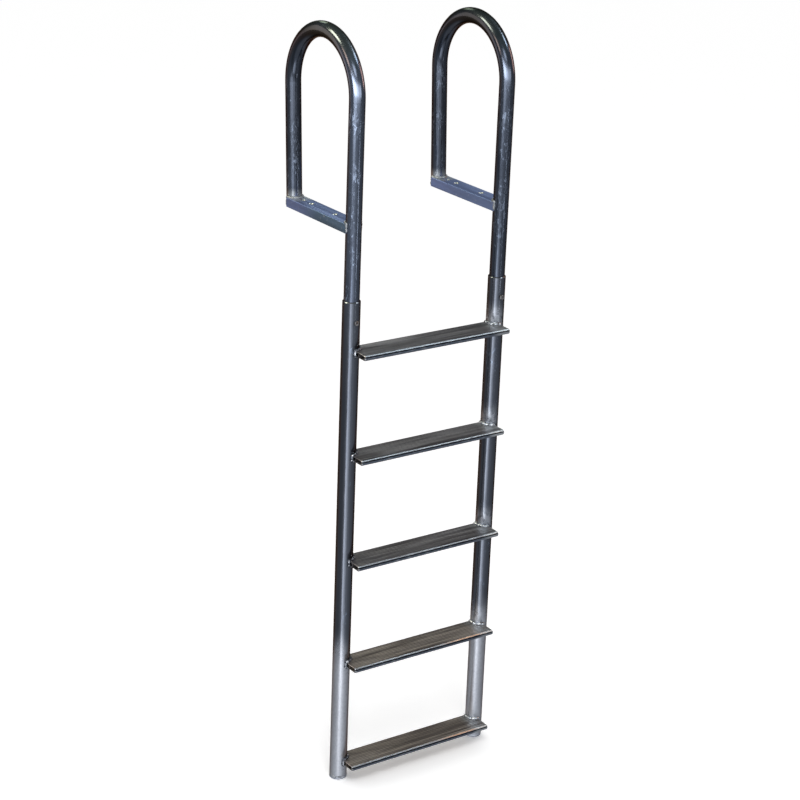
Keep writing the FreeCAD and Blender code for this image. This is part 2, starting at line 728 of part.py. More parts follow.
for item in doc.Objects:
    if "Invalid" in item.State or "Error" in item.State:
        raise RuntimeError(f"{item.Label} did not build: {item.State}")
for node in nodes:
    shape = node.Shape
    if shape.isNull() or not shape.isValid() or len(shape.Solids) != 1:
        raise RuntimeError(f"{node.Label} is not one valid solid: {len(shape.Solids)}")

os.makedirs("parts", exist_ok=True)
for node in nodes:
    node.Shape.exportStep(f"parts/{node.Label}.step")
    box = node.Shape.BoundBox
    print(
        f"{node.Label:24s} volume {node.Shape.Volume:10.0f} mm3  x {box.XMin:7.1f} {box.XMax:7.1f}"
        f"  y {box.YMin:7.1f} {box.YMax:7.1f}  z {box.ZMin:8.1f} {box.ZMax:8.1f}"
    )
print(f"{len(nodes)} nodes written")
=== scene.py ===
# %% [markdown]
# # A dock ladder, dressed for its portrait
# The ladder comes in as a finished frame of CAD pieces: two tube rails, two
# handrail loops, channels, treads, welds, bolts and caps. Its sizes are
# settled, so the lesson is about light, metal and the small forms that a
# plain solid lacks. First the frame is loaded and its box is kept.

# %% Load the frame
import json
import math

import bpy
import numpy as np
from mathutils import Matrix, Vector


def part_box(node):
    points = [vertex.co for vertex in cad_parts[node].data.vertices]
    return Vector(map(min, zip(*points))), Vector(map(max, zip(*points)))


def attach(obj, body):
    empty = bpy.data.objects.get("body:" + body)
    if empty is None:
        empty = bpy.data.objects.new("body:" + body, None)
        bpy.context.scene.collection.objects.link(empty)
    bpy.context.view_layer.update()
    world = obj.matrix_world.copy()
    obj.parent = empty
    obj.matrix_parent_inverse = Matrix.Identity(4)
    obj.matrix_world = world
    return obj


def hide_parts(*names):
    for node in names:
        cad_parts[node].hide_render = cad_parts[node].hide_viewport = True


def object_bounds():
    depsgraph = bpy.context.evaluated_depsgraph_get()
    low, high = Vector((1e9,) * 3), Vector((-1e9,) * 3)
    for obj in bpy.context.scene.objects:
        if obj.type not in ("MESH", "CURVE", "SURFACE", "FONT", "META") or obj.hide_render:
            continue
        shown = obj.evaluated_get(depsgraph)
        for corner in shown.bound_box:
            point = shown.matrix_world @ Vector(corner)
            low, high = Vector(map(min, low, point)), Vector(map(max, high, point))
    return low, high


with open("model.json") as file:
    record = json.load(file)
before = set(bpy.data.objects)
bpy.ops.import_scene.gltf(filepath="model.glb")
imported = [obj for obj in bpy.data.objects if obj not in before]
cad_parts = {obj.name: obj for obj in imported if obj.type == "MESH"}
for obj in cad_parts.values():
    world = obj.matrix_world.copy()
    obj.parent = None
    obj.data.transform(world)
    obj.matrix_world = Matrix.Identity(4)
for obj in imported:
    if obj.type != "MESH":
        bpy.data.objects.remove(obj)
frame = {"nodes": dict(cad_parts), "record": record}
cad_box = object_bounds()
nodes = frame["nodes"]
LOW, HIGH = [Vector(corner) for corner in cad_box]
print("CAD box", [round(v, 4) for v in LOW], [round(v, 4) for v in HIGH])


# %% [markdown]
# Every later piece is placed from the frame itself. The two rails give the
# axes that all the other forms follow, so their centres are read once.

# %% Where the rails stand
def centre_of(node):
    """The middle of a node's box."""
    low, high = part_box(node)
    return (Vector(low) + Vector(high)) / 2


RAIL = {side: centre_of(f"lower_rail_{side}") for side in ("left", "right")}
RAIL_RADIUS = (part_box("lower_rail_left")[1][0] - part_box("lower_rail_left")[0][0]) / 2
HANDRAIL_RADIUS = (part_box("handrail_left")[1][0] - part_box("handrail_left")[0][0]) / 2
print("rails at", RAIL["left"], RAIL["right"], "radius", round(RAIL_RADIUS, 5))

# %% [markdown]
# ## The camera
# The portrait was taken from the water side, to the left of the ladder and
# above it. The place, the two turns and the lens below are those at which the
# ladder's known lengths fall where the picture shows them. The camera's axes
# are built from the turns: forward first, then right, then down, then a small
# roll about forward.

# %% Camera
IMAGE_WIDTH = 800
SENSOR_WIDTH = 36.0
CAMERA_PLACE = Vector((-2.8908, -4.5224, 1.5182))
CAMERA_YAW = 0.60947
CAMERA_PITCH = 0.35911
CAMERA_ROLL = -0.03783
FOCAL_LENGTH_PIXELS = 2139.6


def camera_axes(yaw, pitch, roll):
    """Right, up and back of a camera: yaw turns it from +Y towards +X, pitch tips it down."""
    forward = Vector(
        (math.sin(yaw) * math.cos(pitch), math.cos(yaw) * math.cos(pitch), -math.sin(pitch))
    )
    right = Vector((math.cos(yaw), -math.sin(yaw), 0))
    down = forward.cross(right)
    rolled_right = right * math.cos(roll) + down * math.sin(roll)
    rolled_down = down * math.cos(roll) - right * math.sin(roll)
    return rolled_right, -rolled_down, -forward


camera_data = bpy.data.cameras.new("portrait_camera")
camera_data.sensor_fit = "HORIZONTAL"
camera_data.sensor_width = SENSOR_WIDTH
camera_data.lens = FOCAL_LENGTH_PIXELS / IMAGE_WIDTH * SENSOR_WIDTH
camera_data.clip_end = 200
camera = bpy.data.objects.new("portrait_camera", camera_data)
bpy.context.scene.collection.objects.link(camera)
turn = Matrix(camera_axes(CAMERA_YAW, CAMERA_PITCH, CAMERA_ROLL)).transposed()
camera.matrix_world = Matrix.Translation(CAMERA_PLACE) @ turn.to_4x4()
bpy.context.scene.camera = camera
print("lens", round(camera_data.lens, 2), "mm")

# %% [markdown]
# ## Floor, world and lamps
# The picture's ground is plain white. A world of plain grey light would make a
# grey ground, so the world shows white to camera, glossy and transmission
# rays only, and gives the object its own plain level of light. A picture of a
# real studio could do the same, but plain numbers are easier to reason about.

# %% World
PLAIN_LIGHT = 0.75
WHITE = (1, 1, 1, 1)


def new_nodes(tree):
    """Clears a node tree and returns a short way to add nodes and links."""
    tree.nodes.clear()

    def add(kind, **values):
        node = tree.nodes.new(kind)
        for name, value in values.items():
            if hasattr(node, name):
                setattr(node, name, value)
            else:
                node.inputs[name.replace("_", " ")].default_value = value
        return node

    return add, tree.links.new


def seen_directly(add, link):
    """1 for camera, glossy and transmission rays, and 0 for the rays that light a surface."""
    path = add("ShaderNodeLightPath")
    first = add("ShaderNodeMath", operation="MAXIMUM")
    link(path.outputs["Is Camera Ray"], first.inputs[0])
    link(path.outputs["Is Glossy Ray"], first.inputs[1])
    second = add("ShaderNodeMath", operation="MAXIMUM")
    link(first.outputs[0], second.inputs[0])
    link(path.outputs["Is Transmission Ray"], second.inputs[1])
    return second.outputs[0]


world = bpy.data.worlds.new("studio_world")
world.use_nodes = True
bpy.context.scene.world = world
add, link = new_nodes(world.node_tree)
seen = seen_directly(add, link)
lighting = add("ShaderNodeBackground", Color=WHITE, Strength=PLAIN_LIGHT)
ground_white = add("ShaderNodeBackground", Color=WHITE, Strength=1.0)
choice = add("ShaderNodeMixShader")
link(seen, choice.inputs[0])
link(lighting.outputs[0], choice.inputs[1])
link(ground_white.outputs[0], choice.inputs[2])
link(choice.outputs[0], add("ShaderNodeOutputWorld").inputs[0])
print("world: white to look at, plain light", PLAIN_LIGHT)

# %% [markdown]
# The floor is a plain sheet at the ladder's feet, as a studio's paper roll would
# be, and one large quad is enough for it. Its paint is whiter to the camera than
# to the light it throws back, so the ground is white without lighting the ladder
# too much from below. Mirror rays and lamp light pass through it: the rails
# mirror surroundings that lie lower than their feet, where the backdrop and
# some of the lamps go on below the floor.

# %% Floor
FLOOR_SIZE = 60.0
FLOOR_GREY = (0.8, 0.8, 0.8, 1)
FLOOR_WHITE = (1.32, 1.32, 1.32, 1)
floor_mesh = bpy.data.meshes.new("floor")
half = FLOOR_SIZE / 2
floor_mesh.from_pydata(
    [(-half, -half, LOW.z), (half, -half, LOW.z), (half, half, LOW.z), (-half, half, LOW.z)],
    [],
    [(0, 1, 2, 3)],
)
floor = bpy.data.objects.new("floor", floor_mesh)
bpy.context.scene.collection.objects.link(floor)
floor.visible_glossy = False
floor.visible_shadow = False
floor_paint = bpy.data.materials.new("floor_paint")
floor_paint.use_nodes = True
add, link = new_nodes(floor_paint.node_tree)
seen = seen_directly(add, link)
matt = add("ShaderNodeBsdfDiffuse", Color=FLOOR_GREY)
bright = add("ShaderNodeBsdfDiffuse", Color=FLOOR_WHITE)
choice = add("ShaderNodeMixShader")
link(seen, choice.inputs[0])
link(matt.outputs[0], choice.inputs[1])
link(bright.outputs[0], choice.inputs[2])
link(choice.outputs[0], add("ShaderNodeOutputMaterial").inputs[0])
floor_mesh.materials.append(floor_paint)
print("floor at height", round(LOW.z, 4))

# %% [markdown]
# One large soft lamp high on the left models the flat faces, as a window would.
# A bare bulb would draw hard points on every weld, so the lamp is a wide square.

# %% Soft lamp
SOFTBOX_PLACE = (-1.2, -2.6, 2.6)
SOFTBOX_AIM = (0.2, 0.0, -0.4)
SOFTBOX_SIZE = 1.6
SOFTBOX_WATTS = 50.0


def new_lamp(name, width, height, watts):
    """A rectangular lamp that the camera never sees directly."""
    data = bpy.data.lights.new(name, "AREA")
    data.shape = "RECTANGLE"
    data.size = width
    data.size_y = height
    data.energy = watts
    lamp = bpy.data.objects.new(name, data)
    bpy.context.scene.collection.objects.link(lamp)
    lamp.visible_camera = False
    return lamp


softbox = new_lamp("top_softbox", SOFTBOX_SIZE, SOFTBOX_SIZE, SOFTBOX_WATTS)
softbox.location = SOFTBOX_PLACE
away_from_aim = Vector(SOFTBOX_PLACE) - Vector(SOFTBOX_AIM)
softbox.rotation_euler = away_from_aim.to_track_quat("Z", "Y").to_euler()
bpy.context.scene.view_settings.view_transform = "Standard"
print("soft lamp", SOFTBOX_WATTS, "watts")

# %% [markdown]
# A polished tube is a mirror bent round an axis: it shows a squeezed picture of
# the whole room. The mirrored light in the photograph is dark on the left, on the
# right and behind, and paler from the ground in front. A round backdrop three
# metres away stands for all that. Only mirror rays see it, so it takes no light from
# the ladder. At each height a few points (bearing turned left from straight in
# front, tone) say how bright it is, where 1 is the white of the room. Behind
# the ladder it turns brown, but not at foot level or in the sky.

# %% Tones of the surroundings
BACKDROP_BEARINGS = np.linspace(180, -180, 97)
FOOT_BAND = (
    (180, 0.40), (125, 0.60), (100, 0.80), (80, 0.95), (66, 1.1), (50, 1.1), (8, 1.15),
    (-5, 1.1), (-14, 0.95), (-26, 0.75), (-60, 0.50), (-90, 0.40), (-180, 0.40),
)
RAIL_BAND = (
    (180, 0.40), (125, 0.40), (100, 0.36), (80, 0.42), (66, 0.55), (56, 0.90), (46, 1.1), (8, 1.1),
    (-5, 1.0), (-14, 0.85), (-26, 0.65), (-60, 0.50), (-90, 0.42), (-125, 0.36), (-180, 0.40),
)
LEG_BAND = (
    (180, 0.50), (150, 0.50), (125, 0.65), (100, 0.75), (80, 0.85), (66, 1.0), (44, 1.1), (30, 0.95),
    (8, 0.75), (-14, 0.65), (-26, 0.55), (-60, 0.45), (-90, 0.42), (-125, 0.38), (-180, 0.50),
)
SKY_BAND = (
    (180, 0.45), (125, 0.50), (90, 0.50), (66, 0.60), (44, 0.60), (8, 0.50), (-26, 0.50),
    (-90, 0.45), (-148, 0.40), (-180, 0.42),
)
BACKDROP_BANDS = {
    -4.2: FOOT_BAND, -3.1: FOOT_BAND, -2.7: RAIL_BAND, -1.3: RAIL_BAND,
    -1.05: LEG_BAND, -0.4: LEG_BAND, 0.3: SKY_BAND, 2.8: SKY_BAND,
}
BACKDROP_HEIGHTS = list(BACKDROP_BANDS)
COOL = np.array([0.97, 1.0, 1.05])
BROWN = np.array([1.0, 0.72, 0.56])
BROWN_BEARINGS = (118, 135)
BROWN_HEIGHTS = (-3.1, -2.7, -0.5, 0.3)


def tone_row(band):
    """Tones of one height at all bearings, on straight lines between the band's points."""
    bearings, levels = np.array(band).T
    return np.interp(-BACKDROP_BEARINGS, -bearings, levels)


tones = np.array([tone_row(band) for band in BACKDROP_BANDS.values()])[..., None]
behind = np.interp(np.abs(BACKDROP_BEARINGS), BROWN_BEARINGS, (0, 1))[None, :]
low_down = np.interp(BACKDROP_HEIGHTS, BROWN_HEIGHTS, (0, 1, 1, 0))[:, None]
brown_share = (behind * low_down)[..., None]
surroundings = tones * (COOL * (1 - brown_share) + BROWN * brown_share)
darkest, brightest = [round(float(tone), 2) for tone in (surroundings.min(), surroundings.max())]
print("surroundings", surroundings.shape[:2], "tones from", darkest, "to", brightest)

# %% [markdown]
# The backdrop could be painted with an image, but a tone kept at each point of a
# coarse grid is enough, because the shader blends between the points. A flat roof
# of one dark tone closes it, and the crowns of the handrails mirror that.

# %% Round backdrop and roof
ROOM_MIDDLE = np.array([0.1, -0.1])
BACKDROP_RADIUS = 3.3
ROOF_REACH = 3.6
ROOF_TONE = np.array([0.50, 0.58, 0.54])


def glowing(name, points, tones):
    """A grid of points (rows, columns, xyz) joined by quads, glowing with a tone at each point."""
    rows, columns = points.shape[:2]
    corner = (np.arange(rows - 1)[:, None] * columns + np.arange(columns - 1)).ravel()
    quads = np.stack([corner, corner + 1, corner + columns + 1, corner + columns], axis=1)
    mesh = bpy.data.meshes.new(name)
    mesh.from_pydata(points.reshape(-1, 3).tolist(), [], quads.tolist())
    colours = np.ones((rows * columns, 4))
    colours[:, :3] = np.broadcast_to(tones, (rows, columns, 3)).reshape(-1, 3)
    layer = mesh.attributes.new("tone", "FLOAT_COLOR", "POINT")
    layer.data.foreach_set("color", colours.ravel())
    paint = bpy.data.materials.new(f"{name}_tone")
    paint.use_nodes = True
    add, link = new_nodes(paint.node_tree)
    glow = add("ShaderNodeEmission", Strength=1.0)
    link(add("ShaderNodeAttribute", attribute_name="tone").outputs["Color"], glow.inputs["Color"])
    link(glow.outputs[0], add("ShaderNodeOutputMaterial").inputs[0])
    mesh.materials.append(paint)
    backdrop = bpy.data.objects.new(name, mesh)
    bpy.context.scene.collection.objects.link(backdrop)
    backdrop.visible_camera = False
    backdrop.visible_diffuse = False
    backdrop.visible_shadow = False


def at_bearing(bearings, radius, heights):
    """Points of an upright round wall: one row for each height."""
    turn_left = np.radians(bearings)
    points = np.empty((len(heights), len(turn_left), 3))
    points[..., 0] = ROOM_MIDDLE[0] - radius * np.sin(turn_left)
    points[..., 1] = ROOM_MIDDLE[1] - radius * np.cos(turn_left)
    points[..., 2] = np.array(heights)[:, None]
    return points


glowing("round_backdrop", at_bearing(BACKDROP_BEARINGS, BACKDROP_RADIUS, BACKDROP_HEIGHTS), surroundings)
roof_height = BACKDROP_HEIGHTS[-1]
roof = np.array(
    [[(x, y, roof_height) for x in (-ROOF_REACH, ROOF_REACH)] for y in (-ROOF_REACH, ROOF_REACH)]
)
glowing("dark_roof", roof, ROOF_TONE)
print("backdrop", BACKDROP_RADIUS, "m away, roof", roof_height, "m up")

# %% [markdown]
# The bright lines along the tubes are strip lamps that stand upright inside the
# backdrop, to the left of the camera: one strong strip, with weaker ones on its
# right, so that the line is sharp on its left and fades to the right. A larger
# group higher up makes the bright patch where the handrails start to bend. A thin
# strip on the right and a wide one behind on the left add weaker lines. The
# rails look at them from above, so the strips reach below the floor, which mirror
# rays pass through. Each row gives two bearings, two heights and a tone.

# %% Strip lamps
LAMP_RADIUS = 3.0
STRIPS = {
    "rail_edge_strip": (53, 47, -2.75, -1.00, 1.3),
    "rail_strip": (47, 35, -2.75, -0.98, 4.3),
    "rail_side_strip": (35, 24, -2.75, -0.98, 2.5),
    "rail_fading_strip": (24, 10, -2.75, -0.98, 1.2),
    "foot_strip": (52, 20, -3.60, -2.75, 0.30),
    "thin_strip": (-18, -22, -1.03, -0.50, 8.0),
    "leg_strip": (69, 58, -0.78, -0.52, 1.5),
    "leg_top_strip": (72, 40, -0.52, -0.30, 3.2),
    "bend_low_strip": (84, 38, -0.30, 0.20, 3.0),
    "bend_low_fading_strip": (38, -10, -0.30, 0.20, 1.6),
    "bend_strip": (80, 42, 0.20, 1.15, 17.0),
    "bend_side_strip": (42, 16, 0.20, 1.15, 9.5),
    "bend_fading_strip": (16, -24, 0.20, 1.15, 5.0),
    "bend_high_strip": (70, 40, 1.15, 1.50, 4.0),
    "bend_high_fading_strip": (40, 4, 1.15, 1.50, 2.0),
    "back_left_strip": (160, 126, -0.20, 1.60, (1.9, 1.5, 1.3)),
}
UPRIGHT = np.array([0.0, 0.0, 1.0])


def mirror_lamp(name, middle, ray, up_way, width, height, tone):
    """A lamp of one even tone that only mirror rays see: watts = tone times pi times area."""
    tone = np.ones(3) * tone
    lamp = new_lamp(name, width, height, float(tone.max() * math.pi * width * height))
    lamp.data.color = (tone / tone.max()).tolist()
    turn = Matrix([np.cross(up_way, ray), up_way, ray]).transposed()
    lamp.matrix_world = Matrix.Translation(Vector(middle)) @ turn.to_4x4()
    lamp.visible_diffuse = False


for name, (left_bearing, right_bearing, low, high, tone) in STRIPS.items():
    middle = at_bearing([(left_bearing + right_bearing) / 2], LAMP_RADIUS, [(low + high) / 2])[0, 0]
    outward = np.array([*(middle[:2] - ROOM_MIDDLE), 0.0]) / LAMP_RADIUS
    width = 2 * LAMP_RADIUS * math.tan(math.radians(left_bearing - right_bearing) / 2)
    mirror_lamp(name, middle, outward, UPRIGHT, width, high - low, tone)
print("strip lamps", len(STRIPS))

# %% [markdown]
# Small lights glint on the bends: pale ones on the crown and its shoulder, brown
# ones on its sides. A spot of paint would stay put when the camera moves, so each
# is a lamp far out along the mirror ray of one place. A row gives the place on
# the bend, the ray's direction, the lamp's size across and along the tube, and
# its tone. The lamps stand midway between the handrails and serve both.

# %% Glint lamps
BEND_RADIUS = 0.1524
BEND_HEIGHT = 0.339
BEND_CENTRE = np.array([0.0, RAIL["left"].y + BEND_RADIUS, BEND_HEIGHT])
BETWEEN_HANDRAILS = np.array([RAIL["right"].x / 2, 0, 0])
GLINTS = {
    "crown_glint": ((-0.010, 0.022, 0.508), (0.20, 0.84, 0.50), 0.9, 0.6, (10.0, 10.5, 8.5)),
    "shoulder_glint": ((-0.015, -0.070, 0.488), (-0.54, 0.37, 0.75), 1.7, 1.2, (22.0, 21.0, 15.5)),
    "outer_glint": ((0.003, -0.108, 0.470), (0.60, -0.12, 0.79), 0.6, 2.2, (18.0, 20.0, 21.0)),
    "inner_brown_glint": ((-0.019, -0.124, 0.430), (-0.88, 0.10, 0.38), 0.8, 0.9, (7.0, 4.6, 3.2)),
    "outer_brown_glint": ((0.008, -0.153, 0.406), (0.96, -0.18, 0.21), 0.9, 1.2, (9.0, 5.0, 3.4)),
}
for name, (place, ray, across, along, tone) in GLINTS.items():
    place, ray = np.array(place), np.array(ray) / np.linalg.norm(ray)
    radial = place - BEND_CENTRE
    along_tube = [0.0, -radial[2], radial[1]]
    side_way = np.cross(along_tube, ray)
    side_way /= np.linalg.norm(side_way)
    middle = place + BETWEEN_HANDRAILS + LAMP_RADIUS * ray
    mirror_lamp(name, middle, ray, np.cross(ray, side_way), across, along, tone)
print("glint lamps", len(GLINTS))

# %% [markdown]
# ## Metals
# All of the ladder is aluminium, but no two parts of it look alike: the tubes
# are polished and scuffed, the treads are mill finished and dull, the welds are
# rough and mottled. Pictures of metal could be wrapped round each part, but they
# need unwrapped surfaces. Patterns worked out from a point's own place need
# none, so small helpers add the nodes that every metal uses: noise drawn out
# along the grain, a ramp of colours, a soft step and a mix.

# %% Noise and colour ramp
ALONG_X = (0.03, 1, 1)
ALONG_Y = (1, 0.05, 1)
ALONG_Z = (1, 1, 0.05)
EVEN = (1, 1, 1)


def noise(add, link, stretch, scale, detail, distort=0.0):
    """Noise on the object's own coordinates, drawn out by a vector."""
    mapping = add("ShaderNodeMapping")
    mapping.inputs["Scale"].default_value = stretch
    link(add("ShaderNodeTexCoord").outputs["Object"], mapping.inputs["Vector"])
    grain = add("ShaderNodeTexNoise", Scale=scale, Detail=detail, Distortion=distort)
    link(mapping.outputs[0], grain.inputs["Vector"])
    return grain.outputs["Fac"]


def ramp(add, link, value, stops):
    """A colour ramp over a value, from (position, colour) pairs."""
    node = add("ShaderNodeValToRGB")
    link(value, node.inputs[0])
    elements = node.color_ramp.elements
    while len(elements) < len(stops):
        elements.new(0.5)
    for element, (position, colour) in zip(elements, stops):
        element.position = position
        element.color = (*colour, 1)
    return node.outputs["Color"]


print("noise is drawn out by", ALONG_X, ALONG_Y, "or", ALONG_Z)

# %% Soft steps, sums and mixes
def step(add, link, value, start, end, low=0.0, high=1.0):
    """Goes smoothly from low to high while the value goes from start to end."""
    node = add("ShaderNodeMapRange", interpolation_type="SMOOTHSTEP")
    settings = (("From Min", start), ("From Max", end), ("To Min", low), ("To Max", high))
    for socket, number in settings:
        node.inputs[socket].default_value = number
    link(value, node.inputs["Value"])
    return node.outputs[0]


def reckon(add, link, operation, first, second):
    """One calculation on two values, each a socket or a number."""
    node = add("ShaderNodeMath", operation=operation)
    for place, item in enumerate((first, second)):
        if isinstance(item, (int, float)):
            node.inputs[place].default_value = item
        else:
            link(item, node.inputs[place])
    return node.outputs[0]


def times(add, link, *values):
    """The product of several values, from the first to the last."""
    total = values[0]
    for value in values[1:]:
        total = reckon(add, link, "MULTIPLY", total, value)
    return total


def raised(add, link, value, share, amount):
    """A value that is higher by an amount where the share is 1."""
    return reckon(add, link, "ADD", value, times(add, link, share, amount))


def blend_colour(add, link, share, under, over):
    """Lays one colour over another; each is a socket or three numbers."""
    node = add("ShaderNodeMix", data_type="RGBA")
    link(share, node.inputs[0])
    for place, item in ((6, under), (7, over)):
        if isinstance(item, tuple):
            node.inputs[place].default_value = (*item, 1)
        else:
            link(item, node.inputs[place])
    return node.outputs[2]


def place_along(add, link, axis):
    """The object's own X, Y or Z, in metres."""
    split = add("ShaderNodeSeparateXYZ")
    link(add("ShaderNodeTexCoord").outputs["Object"], split.inputs[0])
    return split.outputs[axis]


# %% Shader and dents of a metal
def start_metal(name, edge_tint):
    """A metal with its shader; the tint is how much it still mirrors at a flat glance."""
    material = bpy.data.materials.new(name)
    material.use_nodes = True
    add, link = new_nodes(material.node_tree)
    shader = add("ShaderNodeBsdfPrincipled", Metallic=1.0)
    shader.inputs["Specular Tint"].default_value = (*edge_tint, 1)
    link(shader.outputs[0], add("ShaderNodeOutputMaterial").inputs[0])
    return material, add, link, shader


def dent(add, link, shader, layers):
    """Stacks bumps from coarse to fine: (height value, depth in metres) pairs."""
    below = None
    for height, depth in layers:
        bump = add("ShaderNodeBump", Strength=1.0, Distance=depth)
        link(height, bump.inputs["Height"])
        if below is not None:
            link(below, bump.inputs["Normal"])
        below = bump.outputs[0]
    link(below, shader.inputs["Normal"])


# %% [markdown]
# The rails' feet are paler: partly a bloom where the water stood, partly a
# painted reflection of the pale ground below them. A clean step at the water line
# would look painted, so a slow noise moves its edge up and down and a fine one
# mottles it. The rail's cut rim at the top is a plain grey.

# %% Bloom, painted reflection and rim
# Pale foot colour: partly bloom, partly a painted reflection of the pale ground.
BLOOM_AND_REFLECTION_PALE = (0.34, 0.355, 0.39)
RIM_GREY = (0.09, 0.095, 0.105)
BLOOM_AND_REFLECTION_LINE = -1.17
BLOOM_AND_REFLECTION_FADE = (BLOOM_AND_REFLECTION_LINE - 0.02, BLOOM_AND_REFLECTION_LINE - 0.17)
BLOOM_AND_REFLECTION_WOBBLE = 0.16
RAIL_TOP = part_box("lower_rail_left")[1][2]
RIM_FADE = (RAIL_TOP - 0.0022, RAIL_TOP - 0.0012)


def bloom_reflection_and_rim(add, link, height, colour, rough):
    """A pale, rougher foot, partly bloom and partly painted reflection, and a grey rim at the rail's top."""
    wobble = times(add, link, noise(add, link, (1, 1, 0.3), 18, 5), BLOOM_AND_REFLECTION_WOBBLE)
    level = reckon(add, link, "SUBTRACT", height, wobble)
    pale = step(add, link, level, *BLOOM_AND_REFLECTION_FADE)
    mottle = step(add, link, noise(add, link, EVEN, 160, 6), 0.25, 0.65, 0.82, 1.0)
    pale = times(add, link, pale, mottle)
    colour = blend_colour(add, link, pale, colour, BLOOM_AND_REFLECTION_PALE)
    rough = raised(add, link, rough, pale, 0.16)
    rim = step(add, link, height, *RIM_FADE)
    return blend_colour(add, link, rim, colour, RIM_GREY), rough


print("bloom below", BLOOM_AND_REFLECTION_LINE, "and rim at", round(RAIL_TOP, 4))

# %% [markdown]
# On the left rail's inner side a band round each tread is darkened: painted
# shade at the weld. On the right rail's inner side the metal above each tread is
# lightened: a painted highlight. Both follow the treads' heights from the frame,
# and one noise breaks up their edges.

# %% Painted shade and highlight at the welds
# Painted shade round each tread on the left rail's inner side.
WELD_SHADE = (0.018, 0.018, 0.022)
# Painted highlight above each tread on the right rail's inner side.
FLARE_HIGHLIGHT_PALE = (0.34, 0.36, 0.40)
FLARE_HIGH, FLARE_LOW = 0.070, 0.010
WELD_SHADE_REACH = (0.022, 0.009)
TREAD_TOPS = [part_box(f"tread_{number}")[1][2] for number in range(1, 6)]


def inner_sides(add, link):
    """Two values: 1 on the left rail's inner side, and 1 on the right rail's."""
    across = place_along(add, link, "X")
    left_rail = step(add, link, across, 2 * RAIL_RADIUS, 1.5 * RAIL_RADIUS)
    left_inner = times(add, link, step(add, link, across, 0.002, 0.010), left_rail)
    right_inner = step(add, link, across, RAIL["right"].x + 0.014, RAIL["right"].x)
    right_inner = times(add, link, right_inner, reckon(add, link, "SUBTRACT", 1.0, left_rail))
    return left_inner, right_inner


def weld_marks(add, link, height, colour, rough):
    """For each tread, a painted highlight above it on the right rail and painted shade round it on the left.
    """
    left_inner, right_inner = inner_sides(add, link)
    blotch_noise = noise(add, link, (1, 1, 0.8), 90, 5)
    for top in TREAD_TOPS:
        fading_up = step(add, link, height, top + FLARE_HIGH, top + FLARE_LOW)
        above = step(add, link, height, top - 0.002, top)
        broken = step(add, link, blotch_noise, 0.3, 0.6, 0.3, 0.8)
        # Here ground is the share of painted highlight above the tread.
        ground = times(add, link, fading_up, right_inner, above, broken)
        colour = blend_colour(add, link, ground, colour, FLARE_HIGHLIGHT_PALE)
        rough = raised(add, link, rough, ground, 0.2)
        away = reckon(add, link, "ABSOLUTE", reckon(add, link, "SUBTRACT", height, top), 0.0)
        near = step(add, link, away, *WELD_SHADE_REACH)
        # Painted shade at the weld, broken up by the noise.
        weld_shade_share = times(add, link, near, step(add, link, blotch_noise, 0.42, 0.55), left_inner)
        colour = blend_colour(add, link, weld_shade_share, colour, WELD_SHADE)
    return colour, rough


print("tread tops", [round(top, 4) for top in TREAD_TOPS])

# %% [markdown]
# The crowns of the handrails are darker and olive: partly patina, partly a
# painted dark reflection. They mirror greener light at a flat glance. The short
# legs and the right handrail are darker, which is painted shade, and each short
# leg is lightened just above its channel, a painted highlight. Separate materials
# would show a seam on the tube, so these shares rise softly along one metal.

# %% Crown and legs
# Crown colour: patina and painted dark reflection.
CROWN_PATINA_AND_SHADE = (0.044, 0.046, 0.040)
CROWN_EDGE_TINT = (0.42, 0.42, 0.38)
# Painted shade for the short legs and the right handrail.
SHADE_SLATE = (0.024, 0.028, 0.036)
# Painted highlight on each short leg just above its channel.
LEG_FOOT_HIGHLIGHT = (0.27, 0.29, 0.31)
CROWN_PATINA_AND_SHADE_HEIGHTS = (0.42, 0.49)
CROWN_TINT_HEIGHTS = (0.45, 0.50)
CROWN_ROUGH_HEIGHTS = (0.33, 0.42)
SHORT_LEG_DEPTHS = (0.02, 0.10)
SHORT_LEG_HEIGHTS = (0.07, 0.15)
LEG_FOOT_DEPTHS = (0.05, 0.08)
LEG_FOOT_HEIGHTS = (0.055, 0.026)
RIGHT_HANDRAIL_START = (0.22, 0.24)


def crown_and_legs(add, link, height, colour, rough):
    """A crown in patina and painted dark reflection, short legs and right handrail in painted shade, and a
    painted highlight on the short legs' feet.
    """
    worn = step(add, link, noise(add, link, EVEN, 12, 3), 0.3, 0.7, 0.5, 0.8)
    # Patina and painted dark reflection on the crown.
    patina_and_shade = times(add, link, step(add, link, height, *CROWN_PATINA_AND_SHADE_HEIGHTS), worn)
    colour = blend_colour(add, link, patina_and_shade, colour, CROWN_PATINA_AND_SHADE)
    rough = reckon(add, link, "ADD", rough, step(add, link, height, *CROWN_ROUGH_HEIGHTS, 0, 0.02))
    back = place_along(add, link, "Y")
    right_one = step(add, link, place_along(add, link, "X"), *RIGHT_HANDRAIL_START)
    leg_share = step(add, link, height, *SHORT_LEG_HEIGHTS, 0.3, 0.75)
    short_leg = times(add, link, step(add, link, back, *SHORT_LEG_DEPTHS), leg_share)
    # Painted shade on the short legs and, at half strength, on the right handrail.
    leg_shade_share = reckon(add, link, "MAXIMUM", times(add, link, right_one, 0.5), short_leg)
    colour = blend_colour(add, link, leg_shade_share, colour, SHADE_SLATE)
    # Painted highlight on the short legs' feet.
    foot = step(add, link, height, *LEG_FOOT_HEIGHTS)
    foot = times(add, link, foot, step(add, link, back, *LEG_FOOT_DEPTHS))
    return blend_colour(add, link, foot, colour, LEG_FOOT_HIGHLIGHT), rough


print("patina from height", CROWN_PATINA_AND_SHADE_HEIGHTS[0], "to full at", CROWN_PATINA_AND_SHADE_HEIGHTS[1])

